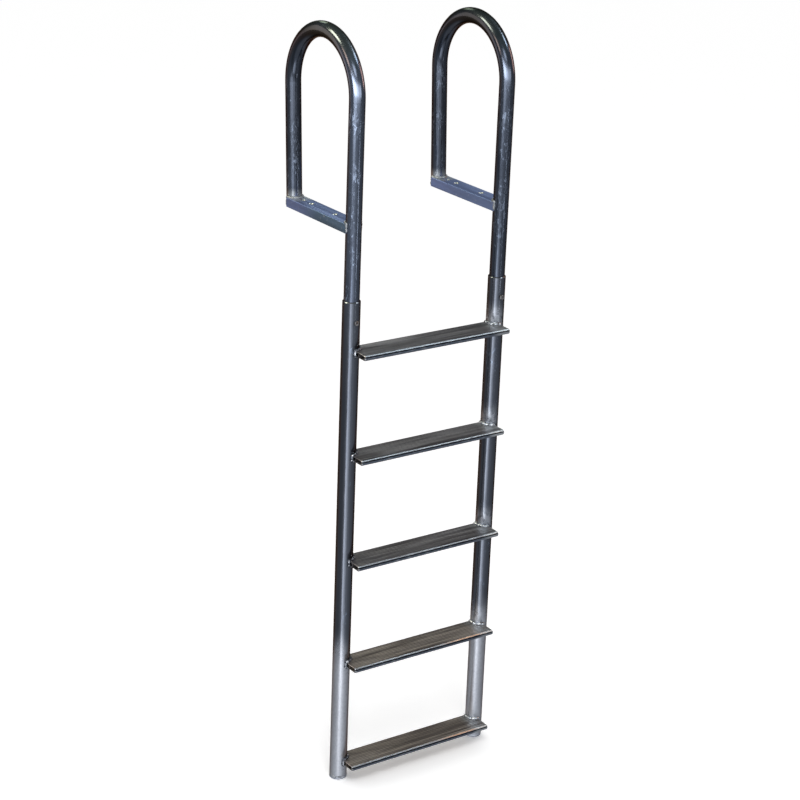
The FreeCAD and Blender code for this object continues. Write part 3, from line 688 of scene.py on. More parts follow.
# %% [markdown]
# The tubes are dark mirrors with a cold tone. Scuffs lie in patches: where one
# broad noise is high, a fine noise drawn out along the tube leaves pale hairs.
# They stop where the handrails bend, because the bends are clean. Single
# scratches could be drawn one by one, but only their patches can be told apart
# from a few metres away.

# %% Tube metal
# Brown tint of the mirrored light at a flat glance: a painted reflection of brown surroundings.
TUBE_EDGE_TINT = (0.46, 0.36, 0.29)
SCUFF_PALE = (0.155, 0.19, 0.255)
CLEAN_BEND_HEIGHTS = (0.37, 0.30)


def tube_metal(name, dark, light, scuffed, is_handrail):
    """Polished tube: grain and scuffs below the bends, then the marks of a handrail or a rail."""
    material, add, link, shader = start_metal(name, TUBE_EDGE_TINT)
    height = place_along(add, link, "Z")
    below_bend = step(add, link, height, *CLEAN_BEND_HEIGHTS)
    colour = ramp(add, link, noise(add, link, ALONG_Z, 60, 6), [(0.3, dark), (0.7, light)])
    rough = step(add, link, noise(add, link, ALONG_Z, 25, 5), 0.35, 0.7, 0.14, 0.22)
    patches = step(add, link, noise(add, link, (1, 1, 0.5), 26, 4), *scuffed)
    hairs = step(add, link, noise(add, link, (1, 1, 0.30), 210, 5, 0.9), 0.50, 0.68)
    scuffs = times(add, link, patches, hairs, below_bend)
    colour = blend_colour(add, link, scuffs, colour, SCUFF_PALE)
    rough = raised(add, link, rough, scuffs, 0.2)
    if is_handrail:
        colour, rough = crown_and_legs(add, link, height, colour, rough)
        crown = step(add, link, height, *CROWN_TINT_HEIGHTS)
        tint = blend_colour(add, link, crown, TUBE_EDGE_TINT, CROWN_EDGE_TINT)
        link(tint, shader.inputs["Specular Tint"])
    else:
        colour, rough = bloom_reflection_and_rim(add, link, height, colour, rough)
        colour, rough = weld_marks(add, link, height, colour, rough)
    link(colour, shader.inputs["Base Color"])
    link(rough, shader.inputs["Roughness"])
    waves = times(add, link, noise(add, link, (1, 1, 0.35), 38, 3), below_bend)
    grain = times(add, link, noise(add, link, ALONG_Z, 240, 4), below_bend)
    dent(add, link, shader, [(waves, 0.0007), (scuffs, 0.00004), (grain, 0.00006)])
    return material


RAIL_METAL = tube_metal(
    "rail_tube_metal", (0.064, 0.072, 0.089), (0.084, 0.093, 0.113), (0.60, 0.72), is_handrail=False
)
HANDRAIL_METAL = tube_metal(
    "handrail_tube_metal", (0.058, 0.070, 0.096), (0.080, 0.095, 0.126), (0.46, 0.56), is_handrail=True
)
print("tube metals", [len(metal.node_tree.nodes) for metal in (RAIL_METAL, HANDRAIL_METAL)], "nodes")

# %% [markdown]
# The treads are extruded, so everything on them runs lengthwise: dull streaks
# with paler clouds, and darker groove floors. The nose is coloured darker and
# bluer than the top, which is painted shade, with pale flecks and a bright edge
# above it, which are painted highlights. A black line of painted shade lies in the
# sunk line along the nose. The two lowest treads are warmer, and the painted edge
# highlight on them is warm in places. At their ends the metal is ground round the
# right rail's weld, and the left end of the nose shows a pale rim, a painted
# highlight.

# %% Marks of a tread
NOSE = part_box("tread_1")[0][1]
TREAD_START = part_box("tread_1")[0][0]
NOSE_END = (NOSE + 0.006, NOSE + 0.0075)
NOSE_LINE_DROP = 0.0048
NOSE_LINE_HALF = (0.0019, 0.0014)
END_RIM_WIDTH = (0.0024, 0.0012)
GROUND_LENGTH = (0.060, 0.030)
STREAK_DARK = np.array((0.051, 0.049, 0.052))
STREAK_PALE = np.array((0.168, 0.164, 0.174))
STREAK_CLOUD = np.array((0.235, 0.232, 0.248))
# Painted shade: the nose is darker and bluer than the top.
NOSE_SHADE_BLUE = (0.070, 0.083, 0.108)
# Painted highlights: pale flecks on the nose.
FLECK_HIGHLIGHT = (0.20, 0.215, 0.245)
# Painted highlight along the top edge of the nose.
EDGE_HIGHLIGHT = (0.165, 0.176, 0.19)
# Warm tint of that painted edge highlight on the low treads.
WARM_EDGE_HIGHLIGHT = (0.28, 0.18, 0.12)
TREAD_GROUND = (0.27, 0.285, 0.30)
# Painted highlight on the rim at the left end of the nose.
END_RIM_HIGHLIGHT = (0.20, 0.21, 0.225)


def streaked(add, link, streaks, warmth):
    """Dull streaks along the tread under paler clouds."""
    stops = [(0.32, STREAK_DARK * warmth), (0.68, STREAK_PALE * warmth)]
    clouds = step(add, link, noise(add, link, (0.14, 1, 1), 26, 4), 0.42, 0.64, 0, 0.75)
    return blend_colour(add, link, clouds, ramp(add, link, streaks, stops), tuple(STREAK_CLOUD * warmth))


def nose_marks(add, link, at_nose, height, top, colour):
    """A nose in painted shade with painted highlights, pale flecks and a bright edge; also says where that
    edge is.
    """
    # Painted shade on the nose.
    colour = blend_colour(add, link, at_nose, colour, NOSE_SHADE_BLUE)
    flecks = step(add, link, noise(add, link, (0.2, 1, 1), 260, 4), 0.5, 0.68, 0, 0.7)
    # Painted highlights on the nose.
    colour = blend_colour(add, link, times(add, link, flecks, at_nose), colour, FLECK_HIGHLIGHT)
    edge = times(add, link, at_nose, step(add, link, height, top - 0.0024, top - 0.0018))
    # Painted highlight along the edge.
    return blend_colour(add, link, edge, colour, EDGE_HIGHLIGHT), edge


def end_marks(add, link, across, depth, streaks, colour):
    """Ground metal near the right rail, and a painted highlight on the rim at the left end of the nose."""
    from_right = reckon(add, link, "SUBTRACT", RAIL["right"].x, across)
    broken = step(add, link, streaks, 0.35, 0.6, 0.4, 0.9)
    ground = times(add, link, step(add, link, from_right, *GROUND_LENGTH), broken)
    colour = blend_colour(add, link, ground, colour, TREAD_GROUND)
    from_end = reckon(add, link, "SUBTRACT", across, TREAD_START)
    in_front = step(add, link, depth, NOSE + 0.012, NOSE + 0.008)
    # Painted highlight on the rim at the left end.
    rim_highlight = times(add, link, step(add, link, from_end, *END_RIM_WIDTH), in_front)
    return blend_colour(add, link, rim_highlight, colour, END_RIM_HIGHLIGHT)


def nose_line(add, link, at_nose, height, depth, top):
    """1 in the sunk line along the nose."""
    sunk = step(add, link, depth, NOSE + 0.0007, NOSE + 0.0012)
    drop = reckon(add, link, "SUBTRACT", height, top - NOSE_LINE_DROP)
    off = reckon(add, link, "ABSOLUTE", drop, 0.0)
    return times(add, link, step(add, link, off, *NOSE_LINE_HALF), sunk, at_nose)


def groove_floors(add, link, height, depth, top):
    """1 on the floors of the grooves behind the nose."""
    on_top = step(add, link, height, top - 0.0012, top - 0.0009)
    sunk = step(add, link, height, top - 0.0003, top - 0.0005)
    return times(add, link, on_top, sunk, step(add, link, depth, *NOSE_END))


print("tread nose at", round(NOSE, 4), "and left end at", round(TREAD_START, 4))

# %% [markdown]
# The streaks and clouds could be one material for all treads, but the edge, the
# line and the grooves are found by their distance from the tread's own top.
# Each tread therefore has a material of its own, made by one function.

# %% Tread metal
TREAD_EDGE_TINT = (0.75, 0.75, 0.75)
# Painted shade in the sunk line along the nose.
LINE_SHADE = (0.010, 0.010, 0.011)
# The groove floors are a little darker.
GROOVE_FLOOR_DARK = (0.114, 0.112, 0.118)
FIRST_LOW_TREAD = 4
LOW_WARMTH = np.array((1.4, 1.28, 1.1))
WARM_HIGHLIGHT_PLACES = (0.27, 0.36)


def tread_metal(number):
    """Mill-finished extrusion with its painted edge highlight and shade, and darker grooves, at this tread's
    height.
    """
    top = TREAD_TOPS[number - 1]
    is_low = number >= FIRST_LOW_TREAD
    material, add, link, shader = start_metal(f"tread_{number}_metal", TREAD_EDGE_TINT)
    across, depth, height = [place_along(add, link, axis) for axis in "XYZ"]
    streaks = noise(add, link, ALONG_X, 120, 6)
    colour = streaked(add, link, streaks, LOW_WARMTH if is_low else np.ones(3))
    at_nose = step(add, link, depth, *NOSE_END[::-1])
    at_nose = times(add, link, at_nose, step(add, link, height, top - 0.0003, top - 0.0008))
    colour, edge = nose_marks(add, link, at_nose, height, top, colour)
    if is_low:
        # Warm tint of the painted edge highlight, in places.
        warm_highlight = times(add, link, edge, step(add, link, across, *WARM_HIGHLIGHT_PLACES))
        colour = blend_colour(add, link, warm_highlight, colour, WARM_EDGE_HIGHLIGHT)
    colour = end_marks(add, link, across, depth, streaks, colour)
    grooves = groove_floors(add, link, height, depth, top)
    colour = blend_colour(add, link, grooves, colour, GROOVE_FLOOR_DARK)
    line = nose_line(add, link, at_nose, height, depth, top)
    # Painted shade in the sunk line.
    colour = blend_colour(add, link, line, colour, LINE_SHADE)
    link(colour, shader.inputs["Base Color"])
    rough = step(add, link, streaks, 0.3, 0.7, 0.36, 0.5)
    link(raised(add, link, rough, line, 0.4), shader.inputs["Roughness"])
    dent(add, link, shader, [(streaks, 0.0002)])
    return material


print("treads are warmer from number", FIRST_LOW_TREAD, "down")

# %% [markdown]
# The channels have a dull violet-blue film. Their side walls are coloured apart
# from the top, bluer, and darker and greener towards the ladder, most of all on
# the left one: painted shade. In the holes the drill cut through the film, and
# the metal there is lightened to a painted glint. On top near the short leg's
# weld the metal is ground pale. The distance from each hole's axis is worked out
# in the shader, so these places are round.

# %% Channel metal
CHANNEL_EDGE_TINT = (0.5, 0.5, 0.56)
FILM = ((0.3, (0.112, 0.150, 0.275)), (0.7, (0.155, 0.200, 0.350)))
# Painted shade: the side walls' own colour apart from the top, and their darker, greener part.
WALL_SHADE_BLUE = (0.136, 0.190, 0.365)
WALL_SHADE_GREENER = (0.085, 0.136, 0.200)
GREENER_SHARE = {"left": 1.0, "right": 0.3}
DROP_PALE = (0.30, 0.34, 0.42)
CHANNEL_GROUND = (0.34, 0.37, 0.40)
# Painted glint in the holes, where the metal is also bare.
HOLE_GLINT_GREY = (0.20, 0.21, 0.21)
HOLE_PLACES = ((0.09525, 0.0045), (0.05715, 0.0072), (-0.05715, 0.0072))
WALL_EDGE = (0.0243, 0.0251)
GREENER_PLACES = (0.09, -0.03)
CHANNEL_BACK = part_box("mounting_channel_left")[1][1]
CHANNEL_GROUND_PLACES = (CHANNEL_BACK - 0.062, CHANNEL_BACK - 0.030)


def from_axis(add, link, along, across, hole_y):
    """Distance from the upright axis of a hole on the channel's middle line."""
    off = reckon(add, link, "SUBTRACT", along, hole_y)
    square = reckon(add, link, "ADD", times(add, link, off, off), times(add, link, across, across))
    return reckon(add, link, "SQRT", square, 0.0)


def channel_metal(side):
    """A filmed metal with painted shade on its side walls, painted glints in its holes, and ground metal near
    the weld.
    """
    material, add, link, shader = start_metal(f"channel_{side}_metal", CHANNEL_EDGE_TINT)
    along = place_along(add, link, "Y")
    across = reckon(add, link, "SUBTRACT", place_along(add, link, "X"), RAIL[side].x)
    grain = noise(add, link, ALONG_Y, 60, 6)
    colour = ramp(add, link, grain, FILM)
    on_wall = step(add, link, reckon(add, link, "ABSOLUTE", across, 0.0), *WALL_EDGE)
    # Painted shade on the side walls.
    colour = blend_colour(add, link, on_wall, colour, WALL_SHADE_BLUE)
    towards_ladder = step(add, link, along, *GREENER_PLACES, 0, GREENER_SHARE[side])
    # Painted shade, darker and greener towards the ladder.
    colour = blend_colour(add, link, times(add, link, on_wall, towards_ladder), colour, WALL_SHADE_GREENER)
    drops = step(add, link, noise(add, link, EVEN, 120, 5), 0.60, 0.72, 0, 0.5)
    colour = blend_colour(add, link, drops, colour, DROP_PALE)
    near_weld = step(add, link, along, *CHANNEL_GROUND_PLACES)
    scoured = step(add, link, noise(add, link, ALONG_Y, 90, 5), 0.35, 0.6, 0.4, 1.0)
    ground = times(add, link, near_weld, reckon(add, link, "SUBTRACT", 1.0, on_wall), scoured)
    colour = blend_colour(add, link, ground, colour, CHANNEL_GROUND)
    for hole_y, hole_radius in HOLE_PLACES:
        distance = from_axis(add, link, along, across, hole_y)
        # Painted glint round each hole.
        bare_glint = step(add, link, distance, hole_radius + 0.0004, hole_radius)
        colour = blend_colour(add, link, bare_glint, colour, HOLE_GLINT_GREY)
    link(colour, shader.inputs["Base Color"])
    link(step(add, link, grain, 0.3, 0.7, 0.36, 0.5), shader.inputs["Roughness"])
    dent(add, link, shader, [(noise(add, link, ALONG_Y, 240, 4), 0.0002)])
    return material


print("channel ends at", round(CHANNEL_BACK, 4), "and has", len(HOLE_PLACES), "holes on top")

# %% [markdown]
# Weld metal is mottled dark and pale: bright on the right of the treads, and on
# their left a darker copy of it, which is painted shade. At the legs it is pale
# and soft. Bolts are dull with a brown stain, and the foot caps are pale and
# slightly chalky. One function with different numbers makes them all, as none
# has a mark at a fixed place.

# %% Other metals
WHITE_EDGE = (1, 1, 1)


def dull_metal(name, stops, roughness, scale, bump, edge_tint=WHITE_EDGE, stain=None):
    """A plain metal: a ramp of colours over noise, with a stain in patches if one is named."""
    material, add, link, shader = start_metal(name, edge_tint)
    value = noise(add, link, EVEN, scale, 6)
    colour = ramp(add, link, value, stops)
    if stain is not None:
        patches = step(add, link, noise(add, link, EVEN, 150, 5), 0.5, 0.66, 0, 0.8)
        colour = blend_colour(add, link, patches, colour, stain)
    link(colour, shader.inputs["Base Color"])
    link(step(add, link, noise(add, link, EVEN, 25, 5), 0.3, 0.7, *roughness), shader.inputs["Roughness"])
    dent(add, link, shader, [(noise(add, link, EVEN, 4 * scale, 4), bump)])
    return material


WELD_METAL = dull_metal(
    "weld_metal", [(0.38, (0.022, 0.024, 0.030)), (0.50, (0.16, 0.175, 0.20)), (0.66, (0.48, 0.50, 0.53))],
    (0.2, 0.42), 190, 0.0004,
)
# A darker copy of the weld metal for the treads' left welds: painted shade.
SHADED_WELD_METAL = dull_metal(
    "shaded_weld_metal",
    [(0.42, (0.020, 0.022, 0.028)), (0.56, (0.11, 0.12, 0.14)), (0.72, (0.34, 0.355, 0.38))],
    (0.25, 0.45), 190, 0.0004,
)
PALE_WELD_METAL = dull_metal(
    "pale_weld_metal", [(0.3, (0.075, 0.085, 0.095)), (0.7, (0.19, 0.20, 0.215))],
    (0.5, 0.65), 120, 0.0002,
)
BOLT_METAL = dull_metal(
    "bolt_metal", [(0.35, (0.03, 0.03, 0.034)), (0.65, (0.24, 0.24, 0.25))],
    (0.2, 0.35), 120, 0.0001, stain=(0.05, 0.03, 0.02),
)
CAP_METAL = dull_metal(
    "foot_cap_finish", [(0.3, (0.24, 0.26, 0.30)), (0.7, (0.36, 0.38, 0.42))],
    (0.35, 0.5), 90, 0.0002, (0.6, 0.6, 0.62), stain=(0.10, 0.10, 0.11),
)
FINISH = {
    "rail_tube": RAIL_METAL,
    "handrail_tube": HANDRAIL_METAL,
    "weld": WELD_METAL,
    "hardware": BOLT_METAL,
    "foot_cap": CAP_METAL,
}
for part in frame["record"]["subparts"]:
    node = part["node"]
    if part["material_slot"] == "tread":
        metal = tread_metal(int(node.split("_")[1]))
    elif part["material_slot"] == "channel":
        metal = channel_metal(node.split("_")[-1])
    else:
        metal = FINISH[part["material_slot"]]
    for slot in nodes[node].material_slots:
        slot.material = metal
print("metals", sorted(FINISH), "and one for each of", len(TREAD_TOPS), "treads")

# %% [markdown]
# ## Welds
# A hand-laid bead is a row of small overlapping puddles, each a crescent, with
# a few beads of spatter round it. Sculpting 14 of them by hand would be slow
# and never the same twice, so a ring is carried along a path: round the tube,
# and at the open end down the tube. The ring's radius swells once a puddle and
# wanders a little.


def shut_tube(rings):
    """Vertices and faces of a tube of rings (n, m, xyz), shut at both ends by a middle point."""
    count, sides = rings.shape[:2]
    ends = rings[[0, -1]].mean(axis=1)
    vertices = np.concatenate([rings.reshape(-1, 3), ends])
    first, around = np.meshgrid(np.arange(count - 1) * sides, np.arange(sides), indexing="ij")
    after = (around + 1) % sides
    quads = np.stack([first + around, first + after, first + sides + after, first + sides + around], axis=-1)
    spoke = np.arange(sides)
    turn = (spoke + 1) % sides
    last = (count - 1) * sides
    head = np.stack([turn, spoke, np.full(sides, count * sides)], axis=1)
    tail = np.stack([last + spoke, last + turn, np.full(sides, count * sides + 1)], axis=1)
    return vertices, quads.reshape(-1, 4).tolist() + head.tolist() + tail.tolist()


def add_piece(name, shells, node, metal, crease=None):
    """Joins closed shells into one piece that takes a node's place."""
    vertices, faces, offset = [], [], 0
    for points, polygons in shells:
        vertices.append(points)
        faces += [[index + offset for index in polygon] for polygon in polygons]
        offset += len(points)
    mesh = bpy.data.meshes.new(name)
    mesh.from_pydata(np.concatenate(vertices).tolist(), [], faces)
    mesh.validate()
    mesh.polygons.foreach_set("use_smooth", np.ones(len(mesh.polygons), bool))
    if crease is not None:
        mesh.set_sharp_from_angle(angle=math.radians(crease))
    mesh.materials.append(metal)
    piece = bpy.data.objects.new(name, mesh)
    bpy.context.scene.collection.objects.link(piece)
    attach(piece, "root")
    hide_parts(node)
    return piece


# %% [markdown]
# The bead's middle line is given by an angle round the tube and a height. Each
# ring on it stands square to the line. A crescent comes from moving the puddle's
# phase forward on the outer side of the ring, and slow sines added to the radius
# keep any two puddles from being alike.

# %% Bead
RING_SIDES = 16
PUDDLE = 0.0034
PUDDLE_BOW = 0.0011
PUDDLE_SWELL = 0.17
PACE_LENGTH = 0.011
STEP_ALONG = 0.0006
WAVES = ((0.019, 0, 0.10), (0.009, 1, 0.07), (0.0052, 2, 0.06), (0.0031, 3, 0.04))


def smoothed(values, width):
    """A running mean that keeps the ends."""
    padded = np.pad(values, width, mode="edge")
    return np.convolve(padded, np.ones(2 * width + 1) / (2 * width + 1), mode="valid")


def wander(rng, along, around, waves):
    """Smooth unevenness: a sum of sines over the length and the ring, with drawn phases."""
    total = np.zeros(np.broadcast(along, around).shape)
    for length, turns, size in waves:
        total += size * np.sin(2 * math.pi * along / length + turns * around + rng.uniform(0, 2 * math.pi))
    return total


def bead_shell(rng, axis, radial, angle, height, radius, limit):
    """A bead whose middle line is given by its angle and height round an upright axis.

    Each ring lies square to the line: its points are middle + r (cos t outward + sin t sideways),
    and r = radius (1 + puddle swell + wander), less at the two ends."""
    angle, height = smoothed(angle, 3), smoothed(height, 3)
    outward = np.stack([np.cos(angle), np.sin(angle), np.zeros_like(angle)], axis=1)
    middle = outward * radial + np.array([axis[0], axis[1], 0.0])
    middle[:, 2] = height
    along_way = np.gradient(middle, axis=0)
    along_way /= np.linalg.norm(along_way, axis=1)[:, None]
    sideways = np.cross(along_way, outward)
    sideways /= np.linalg.norm(sideways, axis=1)[:, None]
    run = np.concatenate([[0], np.cumsum(np.linalg.norm(np.diff(middle, axis=0), axis=1))])
    ring = np.linspace(0, 2 * math.pi, RING_SIDES, endpoint=False)
    along, around = run[:, None], ring[None, :]
    pace = 0.5 * np.sin(run / PACE_LENGTH)[:, None]
    crescent = (along + PUDDLE_BOW * np.cos(around)) / PUDDLE + pace
    swell = PUDDLE_SWELL * (np.abs(np.sin(math.pi * crescent)) ** 0.7 - 0.5)
    rough = wander(rng, along, around, WAVES)
    ends = np.minimum(run, run[-1] - run)
    taper = np.sqrt(np.clip(ends / (1.1 * radius), 0.05, 1))[:, None]
    size = np.minimum(radius * (1 + swell + rough) * taper, limit)
    spokes = np.cos(around)[..., None] * outward[:, None] + np.sin(around)[..., None] * sideways[:, None]
    return shut_tube(middle[:, None] + size[..., None] * spokes)


def evenly(start, end, length):
    """Values from start to end, one for each step along a run of this length."""
    return np.linspace(start, end, max(int(length / STEP_ALONG), 4))


print("puddles", round(1000 * PUDDLE, 2), "mm apart on rings of", RING_SIDES, "sides")

# %% [markdown]
# Spatter is metal that flew off the weld and froze on the tube. Each drop is a
# small flattened ball, half sunk. A particle system could strew them, but drops
# that are made with the bead belong to its piece.

# %% Spatter
DROP_SIZES = (0.0006, 0.0014)


def spatter_shells(rng, axis, tube_radius, angles, heights, count):
    """Small flattened drops of weld metal on the tube: radius times (cos, sin) rings, half sunk."""
    shells = []
    lift = np.linspace(-math.pi / 2, math.pi / 2, 7)[1:-1]
    ring = np.linspace(0, 2 * math.pi, 8, endpoint=False)
    for _ in range(count):
        size = rng.uniform(*DROP_SIZES)
        turn, level = rng.uniform(*angles), rng.uniform(*heights)
        outward = np.array([math.cos(turn), math.sin(turn), 0.0])
        beside = np.array([-math.sin(turn), math.cos(turn), 0.0])
        middle = np.array([axis[0], axis[1], level]) + outward * (tube_radius - 0.1 * size)
        width = np.cos(lift)[:, None, None] * size
        rings = middle + 0.7 * size * np.sin(lift)[:, None, None] * outward
        rings = rings + width * (np.cos(ring)[None, :, None] * beside + np.sin(ring)[None, :, None] * UPRIGHT)
        shells.append(shut_tube(rings))
    return shells


print("spatter radius", [round(1000 * size, 2) for size in DROP_SIZES], "mm")

# %% [markdown]
# A tread's weld starts at the back of the notch, goes round the rail on the
# tread's top, down the rail's front at the open end and back underneath. Ten
# beads with one path but different seeds look hand laid, where copies of one
# bead would repeat its bumps.

# %% Tread welds
TREAD_BEAD = 0.0046
TREAD_BEAD_LIMIT = 0.0062
TREAD_BEAD_SEAT = 0.0010
TREAD_OVERLAP = 0.0006
NOTCH_REACH = 0.0072
DROPS_ABOVE, DROPS_BELOW = 9, 6
DROPS_NEAR, DROPS_FAR = 0.005, 0.018
tread_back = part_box("tread_1")[1][1]
back_reach = math.asin((tread_back - RAIL["left"].y) / (RAIL_RADIUS + NOTCH_REACH))
front = -math.pi / 2
radial = RAIL_RADIUS + TREAD_BEAD_SEAT
for number, top in enumerate(TREAD_TOPS, start=1):
    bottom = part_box(f"tread_{number}")[0][2]
    for side in ("left", "right"):
        rng = np.random.default_rng(10 * number + (side == "right"))
        axis = RAIL[side]
        back = back_reach if side == "left" else -math.pi - back_reach
        there = evenly(back, front, radial * abs(front - back))
        down = evenly(top + TREAD_OVERLAP, bottom - TREAD_OVERLAP, top - bottom)
        angle = np.concatenate([there, np.full(len(down), front), there[::-1]])
        height = np.concatenate([np.full(len(there), down[0]), down, np.full(len(there), down[-1])])
        shells = [bead_shell(rng, axis, radial, angle, height, TREAD_BEAD, TREAD_BEAD_LIMIT)]
        arc = sorted((back, front))
        above, below = (top + DROPS_NEAR, top + DROPS_FAR), (bottom - DROPS_FAR, bottom - DROPS_NEAR)
        shells += spatter_shells(rng, axis, RAIL_RADIUS, arc, above, DROPS_ABOVE)
        shells += spatter_shells(rng, axis, RAIL_RADIUS, arc, below, DROPS_BELOW)
        # The welds on the treads' left take the painted shade copy.
        metal = SHADED_WELD_METAL if side == "left" else WELD_METAL
        piece = add_piece(f"tread_{number}_{side}_bead", shells, f"tread_{number}_weld_{side}", metal)
print("tread beads", len(piece.data.polygons), "faces each")

# %% [markdown]
# The handrail's legs are welded to the channel's two ends: up one side wall,
# round the leg on top, and down the other side. The same ring is carried along
# this other path, a little thinner.

# %% Leg welds
LEG_BEAD = 0.0034
LEG_BEAD_LIMIT = 0.0044
LEG_BEAD_SEAT = 0.0008
LEG_DROPS = 6
radial = HANDRAIL_RADIUS + LEG_BEAD_SEAT
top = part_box("mounting_channel_left")[1][2] + 0.0004
leg_drops_band = (top + 0.004, top + 0.012)
up = evenly(0.001, top, top)
for side in ("left", "right"):
    for leg, start, end in (("long", 0.0, math.pi), ("short", math.pi, 2 * math.pi)):
        low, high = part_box(f"{leg}_leg_weld_{side}")
        leg_y = RAIL[side].y if leg == "long" else low[1] + (high[0] - low[0]) / 2
        axis = (RAIL[side].x, leg_y)
        rng = np.random.default_rng(200 + 2 * (leg == "long") + (side == "right"))
        across = evenly(start, end, radial * math.pi)
        angle = np.concatenate([np.full(len(up), start), across, np.full(len(up), end)])
        height = np.concatenate([up, np.full(len(across), top), up[::-1]])
        shells = [bead_shell(rng, axis, radial, angle, height, LEG_BEAD, LEG_BEAD_LIMIT)]
        shells += spatter_shells(rng, axis, HANDRAIL_RADIUS, (start, end), leg_drops_band, LEG_DROPS)
        piece = add_piece(f"{leg}_leg_{side}_bead", shells, f"{leg}_leg_weld_{side}", PALE_WELD_METAL)
print("leg beads", len(piece.data.polygons), "faces each")

# %% [markdown]
# ## Bolts and nuts
# A hexagon bolt is one surface: stations along its axis, and at each station a
# ring whose radius is the smaller of a hexagon and a cone. The cone takes the
# corners off the head. The thread is a ring whose radius rises and falls once
# a turn and once a pitch. Cutting a screw from a cylinder would do the same, but
# leaves thin triangles, and stations and radii alone give clean rows of quads.

# %% Hexagons and threads
HEX_WIDTH = 0.0127
SHANK = 0.00395
PITCH = 0.00127
THREAD_DEPTH = 0.00036
THREAD_STATION = 0.00016
RING = np.linspace(0, 2 * math.pi, 73)[:-1]


def hexagon(width):
    """Radius of a hexagon: half its width over the cosine of the angle from the nearest flat."""
    return width / 2 / np.cos((RING + math.pi / 6) % (math.pi / 3) - math.pi / 6)


def hex_rings(outer, inner):
    """Rings at a hexagon's outer face, as (station, radii), with its corners coned off."""
    flat = 0.93 * HEX_WIDTH / 2
    rows = []
    for inset, cone in ((0.0, flat), (0.00035, flat + 0.0006), (0.0011, 1.2 * HEX_WIDTH / 2)):
        rows.append((outer + inset * np.sign(inner - outer), np.minimum(hexagon(HEX_WIDTH), cone)))
    return rows


def thread(start, end):
    """Rings of a thread: the radius falls and rises once a pitch, turning as it goes."""
    stations = np.arange(start, end, THREAD_STATION)
    turns = stations[:, None] / PITCH - RING[None] / (2 * math.pi)
    depth = THREAD_DEPTH * np.abs(2 * (turns % 1) - 1)
    return [(station, SHANK - row) for station, row in zip(stations, depth)]


def along_y(rows, axis):
    """Turns (station, radii) rows into rings about a level axis that runs from front to back."""
    stations = np.array([row[0] for row in rows])
    radii = np.stack([np.broadcast_to(row[1], RING.shape) for row in rows])
    rings = np.empty((*radii.shape, 3))
    rings[..., 0] = axis.x + radii * np.cos(RING)
    rings[..., 1] = stations[:, None]
    rings[..., 2] = axis.z - radii * np.sin(RING)
    return rings


def ring_shell(rings):
    """Vertices and faces of rings (n, m, xyz) whose last ring joins the first: a body with a bore."""
    count, sides = rings.shape[:2]
    first, around = np.meshgrid(np.arange(count), np.arange(sides), indexing="ij")
    after, following = (around + 1) % sides, (first + 1) % count
    corners = [(first, around), (first, after), (following, after), (following, around)]
    quads = np.stack([row * sides + place for row, place in corners], axis=-1)
    return rings.reshape(-1, 3), quads.reshape(-1, 4).tolist()


print("hexagon", round(1000 * HEX_WIDTH, 1), "mm wide, thread every", round(1000 * PITCH, 2), "mm")

# %% [markdown]
# Both bolts go in from the front: a dished head, a washer face, the plain shank
# through the tubes, and a thread where the nut sits. The nut is the same hexagon,
# coned at both faces, and its surface comes back through the bore.

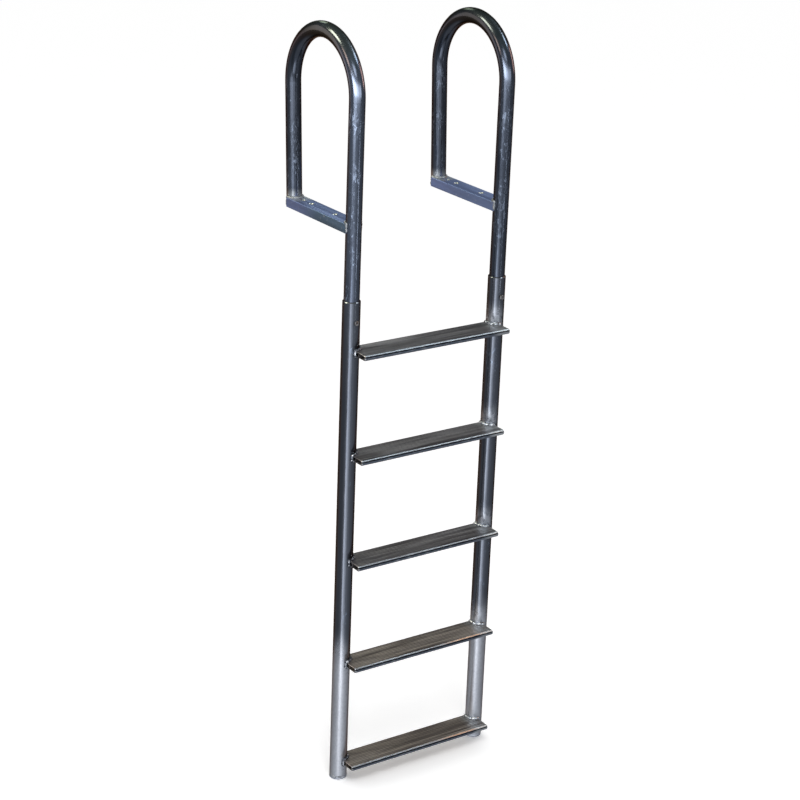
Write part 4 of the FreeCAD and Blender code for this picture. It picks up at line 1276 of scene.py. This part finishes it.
# %% Bolts and nuts
HEAD_HEIGHT = 0.0053
CREASE = 30
for side in ("left", "right"):
    low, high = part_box(f"cross_bolt_{side}")
    nut_low, nut_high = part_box(f"cross_bolt_nut_{side}")
    axis = centre_of(f"cross_bolt_{side}")
    head_back = low[1] + HEAD_HEIGHT
    rows = [(low[1] + 0.0006, 0.0010), (low[1] + 0.0004, 0.0036), (low[1], 0.0042)]
    rows += hex_rings(low[1], head_back)
    rows += [(head_back - 0.0004, hexagon(HEX_WIDTH)), (head_back - 0.0004, 0.0060), (head_back, 0.0059)]
    rows += [(head_back, SHANK), (nut_low[1] - 0.002, SHANK)]
    rows += thread(nut_low[1] - 0.0015, high[1] - 0.0009)
    rows += [(high[1] - 0.0006, SHANK - 0.0003), (high[1], SHANK - 0.0011)]
    shell = shut_tube(along_y(rows, axis))
    bolt = add_piece(f"hexagon_bolt_{side}", [shell], f"cross_bolt_{side}", BOLT_METAL, CREASE)
    middle = (nut_low[1] + nut_high[1]) / 2
    rows = [(nut_low[1] + 0.0005, SHANK + 0.00005), (nut_low[1], SHANK + 0.0006)]
    rows += hex_rings(nut_low[1], middle) + hex_rings(nut_high[1], middle)[::-1]
    rows += [(nut_high[1], SHANK + 0.0006), (nut_high[1] - 0.0005, SHANK + 0.00005)]
    shell = ring_shell(along_y(rows, axis))
    nut = add_piece(f"hexagon_nut_{side}", [shell], f"cross_bolt_nut_{side}", BOLT_METAL, CREASE)
print("bolt", len(bolt.data.polygons), "faces, nut", len(nut.data.polygons), "faces")

# %% [markdown]
# ## Foot caps
# The caps are turned: a rounded lower edge, a straight lip as wide as the rail,
# a fine dark seam under the rail's cut end, and the plug inside. A turned form
# is a profile of (radius, height) pairs carried round an axis, so only the
# profile has to be written down.

# %% Foot caps
CAP_RING = np.linspace(0, 2 * math.pi, 97)[:-1]
CAP_CORNER = 0.0030
PLUG_RADIUS = 0.0211
SEAM_RADIUS = RAIL_RADIUS - 0.0009
CAP_CREASE = 35
for side in ("left", "right"):
    low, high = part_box(f"foot_cap_{side}")
    axis = centre_of(f"foot_cap_{side}")
    rail_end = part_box(f"lower_rail_{side}")[0][2]
    straight = RAIL_RADIUS - CAP_CORNER
    bend = np.radians(np.linspace(-90, 0, 9))
    profile = [(0.004, low[2] + 0.0004), (0.015, low[2] + 0.0003), (straight - 0.001, low[2])]
    profile += zip(straight + CAP_CORNER * np.cos(bend), low[2] + CAP_CORNER + CAP_CORNER * np.sin(bend))
    profile += [(RAIL_RADIUS, rail_end - 0.0013), (RAIL_RADIUS - 0.0003, rail_end - 0.0010)]
    profile += [(SEAM_RADIUS, rail_end - 0.0008), (SEAM_RADIUS, rail_end - 0.0001)]
    profile += [(PLUG_RADIUS - 0.0002, rail_end - 0.0001), (PLUG_RADIUS, rail_end + 0.002)]
    profile += [(PLUG_RADIUS, high[2] - 0.002), (0.0200, high[2]), (0.0040, high[2])]
    radius, level = np.array(profile).T
    rings = np.empty((len(profile), len(CAP_RING), 3))
    rings[..., 0] = axis.x + radius[:, None] * np.cos(CAP_RING)
    rings[..., 1] = axis.y + radius[:, None] * np.sin(CAP_RING)
    rings[..., 2] = level[:, None]
    cap = add_piece(f"moulded_cap_{side}", [shut_tube(rings)], f"foot_cap_{side}", CAP_METAL, CAP_CREASE)
print("cap", len(cap.data.polygons), "faces")
